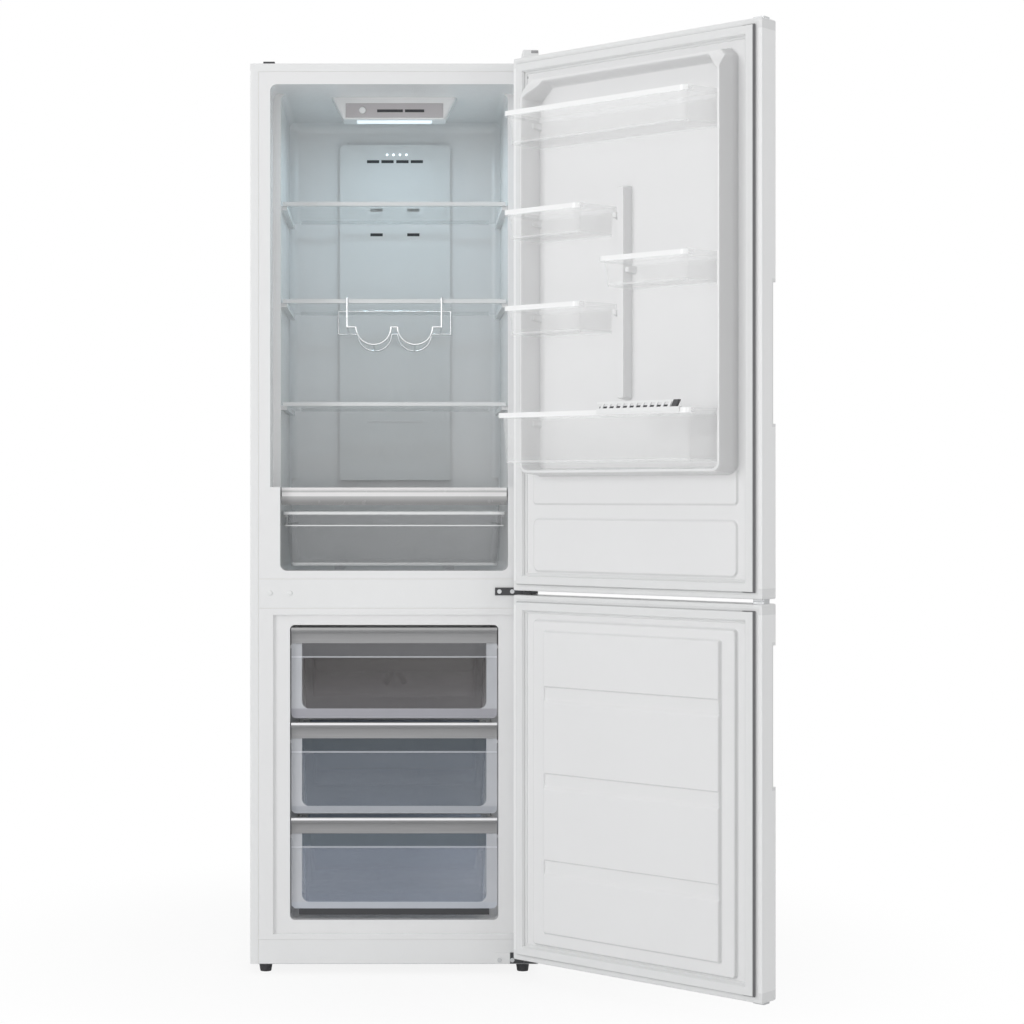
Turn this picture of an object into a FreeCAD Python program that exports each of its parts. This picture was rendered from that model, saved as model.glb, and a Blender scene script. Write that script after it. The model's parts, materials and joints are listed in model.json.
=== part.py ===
import FreeCAD, Part
import os

import Sketcher
from FreeCAD import Placement, Rotation, Vector

# A two-door refrigerator with a bottom freezer, standing on the floor.
# Millimetres. X runs to the right across the front, Y runs back into the case, Z runs up from the floor.
# The origin is on the floor under the middle of the case. The doors stand open, as they are used.

# Driving sizes. Depths are measured back from the front plane of the case, heights from the floor.
# A size given as text follows from the sizes before it.
CASE_SIZES = {
    "case_width": 595, "case_depth": 570, "case_height": 1880, "case_edge": 2.5, "foot_height": 20,
    "sheet": 1, "flange": 17, "seam": 0.3, "liner_wall": 2, "running_gap": 0.5,
    "mullion_low": 755, "mullion_height": 60, "mullion_top": "mullion_low + mullion_height",
    "rail_top": 70, "rail_wall": 1.5,
    "machine_space": 190, "machine_depth": "case_depth - machine_space", "machine_top": 232, "cover_gap": 3,
}
FRIDGE_SIZES = {
    "side_wall": 41.5, "fridge_half": "case_width / 2 - side_wall",
    "roof_wall": 43, "fridge_top": "case_height - roof_wall",
    "back_wall": 80, "fridge_depth": "case_depth - back_wall",
    "throat_depth": 110, "throat_step": 16, "wall_half": "fridge_half - throat_step",
    "bay_step": 4.5, "bay_half": "wall_half - bay_step",
    "bay_rise": 17, "bay_floor": "mullion_top + bay_rise",
    "bay_height": 173, "bay_top": "bay_floor + bay_height",
    "fridge_corner": 14, "back_corner": 22,
    "shelf_gap": 4, "shelf_half": "wall_half - shelf_gap",
    "shelf_front": 115, "shelf_back_gap": 45, "shelf_depth": "fridge_depth - shelf_front - shelf_back_gap",
    "glass_wall": 4, "trim_height": 8, "trim_depth": 13, "rib_width": 12, "rib_height": 9,
    "upper_share": 0.7236, "upper_shelf": "bay_top + (fridge_top - bay_top) * upper_share",
    "middle_share": 0.476, "middle_shelf": "bay_top + (fridge_top - bay_top) * middle_share",
    "lower_share": 0.214, "lower_shelf": "bay_top + (fridge_top - bay_top) * lower_share",
    "lid_gap": 2.5, "lid_half": "bay_half - lid_gap", "lid_sink": 1, "lid_top": "bay_top - lid_sink",
    "lid_front": 16, "lid_drop": 36, "lid_rail": 8,
    "lid_back_gap": 54, "lid_depth": "fridge_depth - lid_front - lid_back_gap",
    "crisper_gap": 3, "crisper_half": "lid_half - crisper_gap", "crisper_front": 18,
    "crisper_lift": 10, "crisper_low": "bay_floor + crisper_lift",
    "crisper_height": 112, "crisper_top": "crisper_low + crisper_height",
    "crisper_back_gap": 72, "crisper_depth": "fridge_depth - crisper_front - crisper_back_gap",
    "crisper_draft": 7, "crisper_wall": 2.5,
    "rack_half": 124, "rack_drop": 57, "rack_margin": 120, "rack_length": "shelf_depth - rack_margin",
    "rack_wire": 4, "hook_half": 100, "bottle_half": 44, "bottle_width": 70,
}
FITTING_SIZES = {
    "duct_half": 126, "duct_lift": 17, "duct_low": "bay_top + duct_lift",
    "duct_drop": 49, "duct_top": "fridge_top - duct_drop", "duct_wall": 12, "duct_corner": 14,
    "slot_width": 28, "slot_height": 7, "slot_offset": 42, "slot_near": 17, "slot_pitch": 33,
    "long_slot_half": 63, "long_slot_height": 4,
    "housing_half": 133, "housing_low_half": 109, "housing_drop": 47,
    "housing_low": "fridge_top - housing_drop", "housing_front": 150, "housing_depth": 60,
    "panel_half": 104, "panel_height": 30, "panel_inset": 4, "panel_wall": 1.6,
    "button_radius": 7, "button_offset": 68, "button_travel": 1.5,
    "lens_half": 80, "lens_depth": 34, "lens_wall": 3, "lens_back": 16,
}
FREEZER_SIZES = {
    "freezer_side": 82, "freezer_half": "case_width / 2 - freezer_side",
    "freezer_lift": 40, "freezer_floor": "rail_top + freezer_lift",
    "freezer_drop": 35, "freezer_top": "mullion_low - freezer_drop",
    "freezer_back": 92, "freezer_depth": "case_depth - freezer_back",
    "hump_wall": 62, "hump_depth": "machine_depth - hump_wall",
    "hump_rise": 30, "hump_top": "machine_top + hump_rise", "freezer_corner": 10,
    "lip_side": 47.5, "lip_half": "case_width / 2 - lip_side",
    "lip_lift": 12, "lip_low": "rail_top + lip_lift", "lip_sink": 14, "lip_top": "mullion_low - lip_sink",
    "lip_drop": 6,
    "grille_space": 62, "grille_depth": "freezer_depth - grille_space", "grille_wall": 3,
    "drawer_gap": 2.5, "drawer_half": "freezer_half - drawer_gap",
    "drawer_slack": 19, "drawer_pitch": "(freezer_top - freezer_floor - drawer_slack) / 3",
    "drawer_space": 9, "drawer_height": "drawer_pitch - drawer_space",
    "drawer_drop": 6, "upper_drawer_top": "freezer_top - drawer_drop",
    "middle_drawer_top": "upper_drawer_top - drawer_pitch",
    "lower_drawer_top": "middle_drawer_top - drawer_pitch",
    "drawer_front": 16, "drawer_panel": 4, "strip_height": 33, "strip_depth": 16, "strip_wall": 2,
    "tub_inset": 21, "tub_half": "drawer_half - tub_inset", "tub_draft": 8, "tub_wall": 2, "tub_flange": 12,
    "drawer_back_gap": 20, "drawer_depth": "grille_depth - drawer_front - drawer_back_gap",
    "short_back_gap": 22, "short_drawer_depth": "hump_depth - drawer_front - short_back_gap",
    "ledge_width": 13, "ledge_height": 7,
    "fan_drop": 120, "fan_height": "freezer_top - fan_drop", "fan_radius": 52, "hub_radius": 15,
    "fan_depth": 14, "blade_wall": 1.6, "blade_pitch": 32, "fan_gap": 4,
    "motor_radius": 20, "motor_depth": 22, "shaft_radius": 2.5,
    "coil_side": 20.5, "coil_half": "freezer_half - coil_side", "coil_lift": 38,
    "coil_low": "hump_top + coil_lift", "coil_gap": 100, "coil_top": "fan_height - coil_gap",
    "coil_depth": 44, "fin_wall": 1, "fin_step": 18, "tube_radius": 4, "tube_step": 40,
}
MACHINE_SIZES = {
    "compressor_x": 120, "compressor_radius": 74, "compressor_top": 192, "compressor_foot": 30,
    "pipe_radius": 4, "tray_half": 130, "tray_height": 22, "tray_wall": 2,
    "condenser_side": 47.5, "coil_left": "condenser_side - case_width / 2", "coil_right": 10,
    "louvre_height": 5, "louvre_step": 16, "louvre_half": 60,
    "foot_side": 30.5, "foot_x": "case_width / 2 - foot_side", "foot_depth": 34, "foot_radius": 14.5,
    "foot_tip_radius": 11.5, "stud_radius": 4, "stud_height": 52, "stud_gap": 0.3, "well_radius": 9,
    "roller_side": 57.5, "roller_x": "case_width / 2 - roller_side",
    "roller_inset": 60, "roller_depth": "case_depth - roller_inset",
    "roller_radius": 16, "roller_width": 18, "axle_radius": 4, "fork_wall": 3,
}
DOOR_SIZES = {
    "door_angle": 137.85, "door_thick": 52, "door_gap": 12, "door_corner": 8, "cap_height": 20,
    "return_width": 13, "hinge_inset": 18.35, "hinge_setback": 20, "pin_radius": 4, "pin_reach": 14,
    "pin_gap": 0.1, "hinge_wall": 4, "hinge_plate": 3, "hinge_side": 14, "hinge_reach": 71,
    "hinge_cover": 16, "cover_wall": 2, "screw_radius": 4.5, "screw_head": 2,
    "upper_door_rise": 39, "upper_door_low": "mullion_low + upper_door_rise", "upper_door_drop": 2,
    "door_split": 9, "lower_door_top": "upper_door_low - door_split", "lower_door_low": 42,
    "gasket_inset": 6, "gasket_width": 30, "gasket_foot": 5, "bulb_inset": 16, "bulb_width": 14,
    "gasket_gap": 0.4,
    "grip_width": 26, "grip_depth": 18, "grip_wall": 3, "grip_length": 278,
    "grip_lift": 322, "upper_grip_low": "upper_door_low + grip_lift",
    "grip_drop": 72, "lower_grip_low": "lower_door_top - grip_drop - grip_length",
    "dyke_side": 52, "dyke_half": "case_width / 2 - dyke_side",
    "dyke_lift": 232, "dyke_low": "upper_door_low + dyke_lift",
    "dyke_sink": 8, "dyke_top": "fridge_top - dyke_sink",
    "dyke_wall": 12, "dyke_height": 54, "dyke_corner": 22, "dyke_edge": 3, "dyke_slope": 44, "dyke_dip": 22,
    "pad_height": 4, "pad_lift": 39, "pad_low": "upper_door_low + pad_lift",
    "pad_span": 109, "pad_top": "pad_low + pad_span", "step_gap": 27, "step_low": "pad_top + step_gap",
    "pad_corner": 12,
    "plain_lift": 37.5, "plain_low": "lower_door_low + plain_lift",
    "plain_drop": 47, "plain_top": "lower_door_top - plain_drop", "plain_height": 7,
    "block_side": 32, "block_half": "dyke_half - block_side",
    "block_lift": 26.5, "block_low": "plain_low + block_lift",
    "block_drop": 21, "block_top": "plain_top - block_drop", "block_height": 14, "groove_height": 35,
    "groove_depth": 4, "groove_inset": 4,
    "first_share": 0.19, "groove_first": "block_low + (block_top - block_low) * first_share",
    "groove_share": 0.2848, "groove_step": "(block_top - block_low) * groove_share",
    "lug_width": 7, "lug_depth": 17, "lug_height": 14, "lug_setback": 5,
}
BIN_SIZES = {
    "bin_reach": 117, "bottle_reach": 136, "bin_wall": 2, "bin_rim": 10, "bin_lip": 3, "bin_draft": 11,
    "bin_skew": 26, "left_skew": 18, "bottle_skew": 4, "bin_corner": 14, "bin_gap": 1,
    "bin_setback": 2, "left_bin_gap": 5, "right_bin_gap": 3, "bin_height": 57,
    "top_bin_drop": 81, "top_bin_rim": "dyke_top - top_bin_drop",
    "top_bin_height": 65, "top_bin_low": "top_bin_rim - top_bin_height",
    "left_upper_share": 0.655, "left_upper_rim": "dyke_low + (dyke_top - dyke_low) * left_upper_share",
    "left_upper_low": "left_upper_rim - bin_height",
    "left_lower_share": 0.4184, "left_lower_rim": "dyke_low + (dyke_top - dyke_low) * left_lower_share",
    "left_lower_low": "left_lower_rim - bin_height",
    "right_share": 0.5205, "right_bin_rim": "dyke_low + (dyke_top - dyke_low) * right_share",
    "right_bin_low": "right_bin_rim - bin_height",
    "bottle_lift": 26, "bottle_bin_low": "dyke_low + bottle_lift",
    "bottle_bin_height": 98, "bottle_bin_rim": "bottle_bin_low + bottle_bin_height",
    "spine_left": 0.5, "spine_width": 21, "spine_right": "spine_left + spine_width",
    "spine_lift": 148, "spine_low": "dyke_low + spine_lift",
    "spine_rise": 40, "spine_top": "left_upper_rim + spine_rise", "spine_height": 24,
    "comb_length": 190, "comb_height": 15, "comb_wall": 2, "comb_step": 15.5, "comb_slat": 6,
    "comb_grip": 12, "comb_inset": 7, "comb_slant": 8, "comb_corner": 0.6,
}
SHEET_GROUPS = (CASE_SIZES, FRIDGE_SIZES, FITTING_SIZES, FREEZER_SIZES, MACHINE_SIZES, DOOR_SIZES, BIN_SIZES)
FAN_BLADES = 6
GROOVE_COUNT = 3
LOUVRE_COUNT = 9

doc = FreeCAD.newDocument("refrigerator")
sheet = doc.addObject("Spreadsheet::Sheet", "sizes")


class Size:
    """A length that carries both its number and the sheet expression that it comes from."""

    def __init__(self, text, value):
        self.text = text
        self.value = value

    def __add__(self, other):
        return Size(f"({self.text} + {text_of(other)})", self.value + value_of(other))

    def __sub__(self, other):
        return Size(f"({self.text} - {text_of(other)})", self.value - value_of(other))

    def __mul__(self, factor):
        return Size(f"{self.text} * {text_of(factor)}", self.value * value_of(factor))

    def __truediv__(self, factor):
        return Size(f"{self.text} / {text_of(factor)}", self.value / value_of(factor))

    def __neg__(self):
        return Size(f"(0 - {self.text})", -self.value)

    def __radd__(self, other):
        return self + other

    def __rsub__(self, other):
        return -self + other


def text_of(size):
    return size.text if isinstance(size, Size) else repr(size)


def value_of(size):
    return size.value if isinstance(size, Size) else float(size)


class SizeTable:
    """The sheet's named sizes, one attribute each."""


S = SizeTable()
row = 0
for group in SHEET_GROUPS:
    for alias, size_value in group.items():
        row += 1
        sheet.set(f"A{row}", alias)
        sheet.set(f"B{row}", f"={size_value}" if isinstance(size_value, str) else str(size_value))
        sheet.setAlias(f"B{row}", alias)
doc.recompute()
for group in SHEET_GROUPS:
    for alias in group:
        setattr(S, alias, Size(f"sizes.{alias}", float(sheet.get(alias))))

pieces = {}


def bind(feature, **properties):
    for name, size in properties.items():
        feature.setExpression(name, text_of(size))
    return feature


def place(feature, x, y, z):
    feature.setExpression("Placement.Base.x", text_of(x))
    feature.setExpression("Placement.Base.y", text_of(y))
    feature.setExpression("Placement.Base.z", text_of(z))
    return feature


def both(half):
    """The limits of a span that is centred on zero."""
    return (-half, half)


def box(x, y, z):
    """A block between a low and a high limit in each direction."""
    block = doc.addObject("Part::Box", "Block")
    bind(block, Length=x[1] - x[0], Width=y[1] - y[0], Height=z[1] - z[0])
    return place(block, x[0], y[0], z[0])


AXIS_TURN = {
    "X": Rotation(Vector(0, 1, 0), 90),
    "Y": Rotation(Vector(1, 0, 0), -90),
    "Z": Rotation(),
}


def rod(x, y, z, radius, length, axis="Z"):
    """A cylinder that starts at a point and runs along one axis."""
    cylinder = doc.addObject("Part::Cylinder", "Rod")
    cylinder.Placement = Placement(Vector(), AXIS_TURN[axis])
    bind(cylinder, Radius=radius, Height=length)
    return place(cylinder, x, y, z)


def ball(x, y, z, radius):
    sphere = doc.addObject("Part::Sphere", "Ball")
    bind(sphere, Radius=radius)
    return place(sphere, x, y, z)


def half_ring(x, y, z, radius, wire_radius, turn):
    """Half of a bent wire, with its middle at a point, turned to its plane."""
    torus = doc.addObject("Part::Torus", "HalfRing")
    torus.Placement = Placement(Vector(), turn)
    torus.Angle3 = 180
    bind(torus, Radius1=radius, Radius2=wire_radius)
    return place(torus, x, y, z)


def fuse(*shapes):
    joined = doc.addObject("Part::MultiFuse", "Joined")
    joined.Shapes = list(shapes)
    joined.Refine = True
    return joined


def group(shapes):
    """Separate solids that belong to one node."""
    compound = doc.addObject("Part::Compound", "Group")
    compound.Links = list(shapes)
    return compound


def cut(base, *tools):
    result = doc.addObject("Part::Cut", "Carved")
    result.Base = base
    result.Tool = tools[0] if len(tools) == 1 else fuse(*tools)
    return result


class EdgeView:
    """Where a straight edge lies, and which axis it runs along."""

    def __init__(self, edge):
        middle = edge.BoundBox.Center
        self.x, self.y, self.z = middle
        spans = {"X": edge.BoundBox.XLength, "Y": edge.BoundBox.YLength, "Z": edge.BoundBox.ZLength}
        self.axis = max(spans, key=spans.get)
        self.slant = sorted(spans.values())[1]
        self.box = edge.BoundBox


def near(a, b):
    return abs(a - value_of(b)) < 0.05


def fillet(base, radius, chosen):
    """Rounds the edges of a finished shape that a test picks."""
    doc.recompute()
    rounded = doc.addObject("Part::Fillet", "Rounded")
    rounded.Base = base
    size = value_of(radius)
    views = [(number + 1, EdgeView(edge)) for number, edge in enumerate(base.Shape.Edges)]
    rounded.Edges = [(number, size, size) for number, view in views if chosen(view)]
    return rounded


def outline(corners):
    """A closed sketch whose corners are bound to the sheet."""
    sketch = doc.addObject("Sketcher::SketchObject", "Outline")
    draw_outline(sketch, corners)
    return sketch


def draw_outline(sketch, corners):
    points = [Vector(value_of(x), value_of(y), 0) for x, y in corners]
    count = len(points)
    for index in range(count):
        sketch.addGeometry(Part.LineSegment(points[index], points[(index + 1) % count]), False)
    for index in range(count):
        sketch.addConstraint(Sketcher.Constraint("Coincident", index, 2, (index + 1) % count, 1))
    for index, (x, y) in enumerate(corners):
        for kind, size, prefix in (("DistanceX", x, "across"), ("DistanceY", y, "up")):
            number = sketch.addConstraint(Sketcher.Constraint(kind, -1, 1, index, 1, value_of(size)))
            sketch.renameConstraint(number, f"{prefix}{index}")
            sketch.setExpression(f"Constraints.{prefix}{index}", text_of(size))


def prism(low_corners, top_corners, low, top, corner):
    """A block between two outlines at two heights, with its upright edges rounded."""
    low_sketch = place(outline(low_corners), 0, 0, low)
    top_sketch = place(outline(top_corners), 0, 0, top)
    loft = doc.addObject("Part::Loft", "Prism")
    loft.Sections = [low_sketch, top_sketch]
    loft.Solid = True
    loft.Ruled = True
    height = value_of(top) - value_of(low)
    return fillet(loft, corner, lambda edge: near(edge.box.ZLength, height))


def middle_of(corners):
    count = len(corners)
    return sum(value_of(x) for x, _ in corners) / count, sum(value_of(y) for _, y in corners) / count


def moved_in(corners, amount):
    """The same outline, drawn in on every side."""
    centre_x, centre_y = middle_of(corners)
    result = []
    for x, y in corners:
        new_x = x - amount if value_of(x) > centre_x else x + amount
        new_y = y - amount if value_of(y) > centre_y else y + amount
        result.append((new_x, new_y))
    return result


def tub(low_corners, top_corners, low, top, wall, corner):
    """An open container with sloping walls and a floor."""
    outside = prism(low_corners, top_corners, low, top, corner)
    inside = prism(moved_in(low_corners, wall), moved_in(top_corners, wall), low + wall, top + wall,
                   corner - wall)
    return cut(outside, inside)


def ring(corners, width, low, top, corner):
    """A flat rim that follows an outline."""
    outside = prism(corners, corners, low, top, corner)
    hole = moved_in(corners, width)
    return cut(outside, prism(hole, hole, low - width, top + width, corner - width))


def rectangle(x, y):
    return [(x[0], y[0]), (x[1], y[0]), (x[1], y[1]), (x[0], y[1])]


def new_sketch(body, role, corners):
    sketch = body.newObject("Sketcher::SketchObject", "Profile")
    plane = [feature for feature in body.Origin.OriginFeatures if feature.Role == role][0]
    sketch.AttachmentSupport = (plane, [""])
    sketch.MapMode = "FlatFace"
    draw_outline(sketch, corners)
    return sketch


def extruded(corners, x):
    """A body whose section in Y and Z runs along X."""
    body = doc.addObject("PartDesign::Body", "Extruded")
    sketch = new_sketch(body, "YZ_Plane", corners)
    sketch.setExpression("AttachmentOffset.Base.z", text_of(x[0]))
    pad = body.newObject("PartDesign::Pad", "Run")
    pad.Profile = sketch
    pad.setExpression("Length", text_of(x[1] - x[0]))
    return body


def turned(corners):
    """A body of revolution about Z, from its half section of radius and height."""
    body = doc.addObject("PartDesign::Body", "Turned")
    sketch = new_sketch(body, "XZ_Plane", corners)
    spin = body.newObject("PartDesign::Revolution", "Spin")
    spin.Profile = sketch
    spin.ReferenceAxis = (sketch, ["V_Axis"])
    spin.Angle = 360
    return body


def piece(name, feature):
    feature.Label = name
    pieces[name] = feature
    return feature


# Shared lines of the case
front = -S.case_depth / 2
back = S.case_depth / 2
half_width = S.case_width / 2
inner_half = half_width - S.sheet
trim_half = half_width - S.flange - S.seam
pan_top = S.foot_height + S.rail_wall
foam_front = front + S.liner_wall
machine_front = front + S.machine_depth


def behind(depth):
    """The place that lies a depth behind the front plane of the case."""
    return front + depth


# Hinge line and the two doors' flat lines, with the doors shut
hinge_x = half_width - S.hinge_inset
door_inside = front - S.door_gap
door_outside = door_inside - S.door_thick
hinge_y = door_outside + S.hinge_setback
upper_door_top = S.case_height - S.upper_door_drop


def open_door(feature):
    """Turns a piece that was modelled on the shut door to the door's open place."""
    turn = S.door_angle.text
    x = hinge_x.text
    y = hinge_y.text
    feature.setExpression("Placement.Rotation.Angle", turn)
    feature.setExpression("Placement.Base.x", f"{x} - {x} * cos({turn}) + {y} * sin({turn})")
    feature.setExpression("Placement.Base.y", f"{y} - {x} * sin({turn}) - {y} * cos({turn})")
    return feature


def door_piece(name, feature):
    return piece(name, open_door(feature))


def make_case():
    shell = fillet(box(both(half_width), (front, back), (S.foot_height, S.case_height)), S.case_edge,
                   lambda edge: near(edge.y, front) and not near(edge.z, S.foot_height))
    inside = box(both(inner_half), (front + S.sheet, back + S.sheet),
                 (S.foot_height - S.sheet, S.case_height - S.sheet))
    mouth = box(both(half_width - S.flange), (front - S.sheet, front + S.sheet * 2),
                (S.foot_height - S.sheet, S.case_height - S.flange))
    piece("outer_case", cut(shell, inside, mouth))
    piece("back_panel",
          box(both(inner_half), (back - S.sheet, back), (S.machine_top, S.case_height - S.sheet)))
    mullion = box(both(trim_half), (front, front + S.rail_wall), (S.mullion_low, S.mullion_top))
    rail = box(both(trim_half), (front, front + S.rail_wall), (pan_top, S.rail_top))
    piece("front_rails", group([mullion, rail]))


def make_base():
    pan = box(both(inner_half), (front + S.rail_wall, back), (S.foot_height, pan_top))
    slots = []
    forks = []
    fork_half = S.roller_width / 2 + S.running_gap
    for side in (-1, 1):
        x = S.roller_x * side
        y = behind(S.roller_depth)
        reach = S.roller_radius + S.running_gap * 4
        slots.append(box((x - fork_half, x + fork_half), (y - reach, y + reach),
                         (S.foot_height - S.sheet, pan_top + S.sheet)))
        slots.append(rod(S.foot_x * side, behind(S.foot_depth), S.foot_height - S.sheet,
                         S.stud_radius + S.stud_gap,
                         S.rail_wall + S.sheet * 2))
        for cheek in (x - fork_half - S.fork_wall, x + fork_half):
            forks.append(box((cheek, cheek + S.fork_wall), (y - S.axle_radius * 2, y + S.axle_radius * 2),
                             (S.roller_radius - S.axle_radius * 2, pan_top)))
        forks.append(rod(x - fork_half - S.fork_wall, y, S.roller_radius, S.axle_radius,
                         fork_half * 2 + S.fork_wall * 2, "X"))
    piece("base_pan", fuse(cut(pan, *slots), *forks))
    rollers = []
    for side in (-1, 1):
        start = S.roller_x * side - S.roller_width / 2
        y = behind(S.roller_depth)
        wheel = fillet(rod(start, y, S.roller_radius, S.roller_radius, S.roller_width, "X"), S.fork_wall,
                       lambda edge: edge.box.ZLength > 1 and edge.box.XLength < 0.1)
        bore = rod(start - S.sheet, y, S.roller_radius, S.axle_radius + S.pin_gap,
                   S.roller_width + S.sheet * 2, "X")
        rollers.append(cut(wheel, bore))
    piece("rear_rollers", group(rollers))
    for name, side in (("left_foot", -1), ("right_foot", 1)):
        top = S.foot_height - S.running_gap
        foot = turned([(0, 0), (S.foot_tip_radius, 0), (S.foot_radius, top), (S.stud_radius, top),
                       (S.stud_radius, S.stud_height), (0, S.stud_height)])
        piece(name, place(foot, S.foot_x * side, behind(S.foot_depth), 0))


def rounded_bay(x, y, z, corner, back_corner):
    """A compartment's inside, rounded along its depth and round its back wall."""
    def chosen(edge):
        return edge.axis == "Y" and near(edge.z, z[1])
    rounded = fillet(box(x, y, z), corner, chosen)
    return fillet(rounded, back_corner, lambda edge: near(edge.box.YMin, y[1]) and near(edge.box.YMax, y[1]))


def fridge_space(grow, start):
    """The fridge compartment, grown by a wall: throat, shelf space and the narrower crisper bay."""
    throat = fillet(box(both(S.fridge_half + grow), (start, behind(S.throat_depth) + grow),
                        (S.bay_top - grow, S.fridge_top + grow)), S.fridge_corner + grow,
                    lambda edge: edge.axis == "Y" and near(edge.z, S.fridge_top + grow))
    shelves = rounded_bay(both(S.wall_half + grow), (start, behind(S.fridge_depth) + grow),
                          (S.bay_top - grow, S.fridge_top + grow), S.fridge_corner + grow,
                          S.back_corner + grow)
    bay = fillet(box(both(S.bay_half + grow), (start, behind(S.fridge_depth) + grow),
                     (S.bay_floor - grow, S.bay_top + S.back_corner)), S.fridge_corner + grow,
                 lambda edge: edge.axis == "Y" and near(edge.z, S.bay_floor - grow))
    return fuse(throat, shelves, bay)


def freezer_space(grow, start):
    """The freezer compartment, grown by a wall: deep above, and short below where the machine space is."""
    deep = fillet(box(both(S.freezer_half + grow), (start, behind(S.freezer_depth) + grow),
                      (S.hump_top - grow, S.freezer_top + grow)), S.freezer_corner + grow,
                  lambda edge: edge.axis == "Y" and near(edge.z, S.freezer_top + grow))
    short = fillet(box(both(S.freezer_half + grow), (start, behind(S.hump_depth) + grow),
                       (S.freezer_floor - grow, S.hump_top + grow)), S.freezer_corner + grow,
                   lambda edge: edge.axis == "Y" and near(edge.z, S.freezer_floor - grow))
    return fuse(deep, short)


def shelf_ribs():
    ribs = []
    rib_start = behind(S.shelf_front + S.trim_depth + S.running_gap * 4)
    rib_end = behind(S.fridge_depth - S.back_corner)
    for level in (S.upper_shelf, S.middle_shelf, S.lower_shelf):
        top = level - S.glass_wall - S.running_gap
        for x in ((-S.wall_half - S.sheet, -S.wall_half + S.rib_width),
                  (S.wall_half - S.rib_width, S.wall_half + S.sheet)):
            ribs.append(box(x, (rib_start, rib_end), (top - S.rib_height, top)))
    top = S.lid_top - S.lid_drop / 2 - S.running_gap
    for x in ((-S.bay_half - S.sheet, -S.bay_half + S.lid_rail),
              (S.bay_half - S.lid_rail, S.bay_half + S.sheet)):
        ribs.append(box(x, (behind(S.lid_front + S.trim_depth * 2), rib_end), (top - S.lid_rail, top)))
    return ribs


def drawer_levels():
    return (S.upper_drawer_top, S.middle_drawer_top, S.lower_drawer_top)


def drawer_ledges():
    ledges = []
    for level in drawer_levels():
        top = level - S.strip_height - S.tub_wall * 2 - S.running_gap
        depth = S.short_drawer_depth if level is S.lower_drawer_top else S.drawer_depth
        y = (behind(S.drawer_front + S.strip_depth), behind(S.drawer_front) + depth)
        for x in ((-S.freezer_half - S.sheet, -S.freezer_half + S.ledge_width),
                  (S.freezer_half - S.ledge_width, S.freezer_half + S.sheet)):
            ledges.append(box(x, y, (top - S.ledge_height, top)))
    return ledges


def make_liners():
    fridge_outside = fridge_space(S.liner_wall, front)
    fridge_flange = box(both(trim_half), (front, foam_front),
                        (S.mullion_top + S.seam, S.case_height - S.flange - S.seam))
    fridge_inside = fridge_space(0, front - S.sheet)
    piece("fridge_liner", fuse(cut(fuse(fridge_outside, fridge_flange), fridge_inside), *shelf_ribs()))
    freezer_outside = freezer_space(S.liner_wall, front)
    freezer_flange = box(both(trim_half), (front, behind(S.lip_drop) + S.liner_wall),
                         (S.rail_top + S.seam, S.mullion_low - S.seam))
    lip = box(both(S.lip_half), (front - S.sheet, behind(S.lip_drop)), (S.lip_low, S.lip_top))
    freezer_inside = freezer_space(0, front - S.sheet)
    piece("freezer_liner",
          fuse(cut(fuse(freezer_outside, freezer_flange), lip, freezer_inside), *drawer_ledges()))
    return fridge_outside, freezer_outside, freezer_flange


def make_insulation(fridge_outside, freezer_outside, freezer_flange):
    foam = box(both(inner_half), (foam_front, back - S.sheet), (pan_top, S.case_height - S.sheet))
    machine_space = box(both(half_width), (machine_front, back + S.sheet), (S.foot_height, S.machine_top))
    wells = [rod(S.foot_x * side, behind(S.foot_depth), pan_top - S.sheet, S.well_radius,
                 S.stud_height - S.foot_height)
             for side in (-1, 1)]
    piece("insulation", cut(foam, fridge_outside, freezer_outside, freezer_flange, machine_space, *wells))


def pin(z, length):
    return rod(hinge_x, hinge_y, z, S.pin_radius, length)


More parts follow.
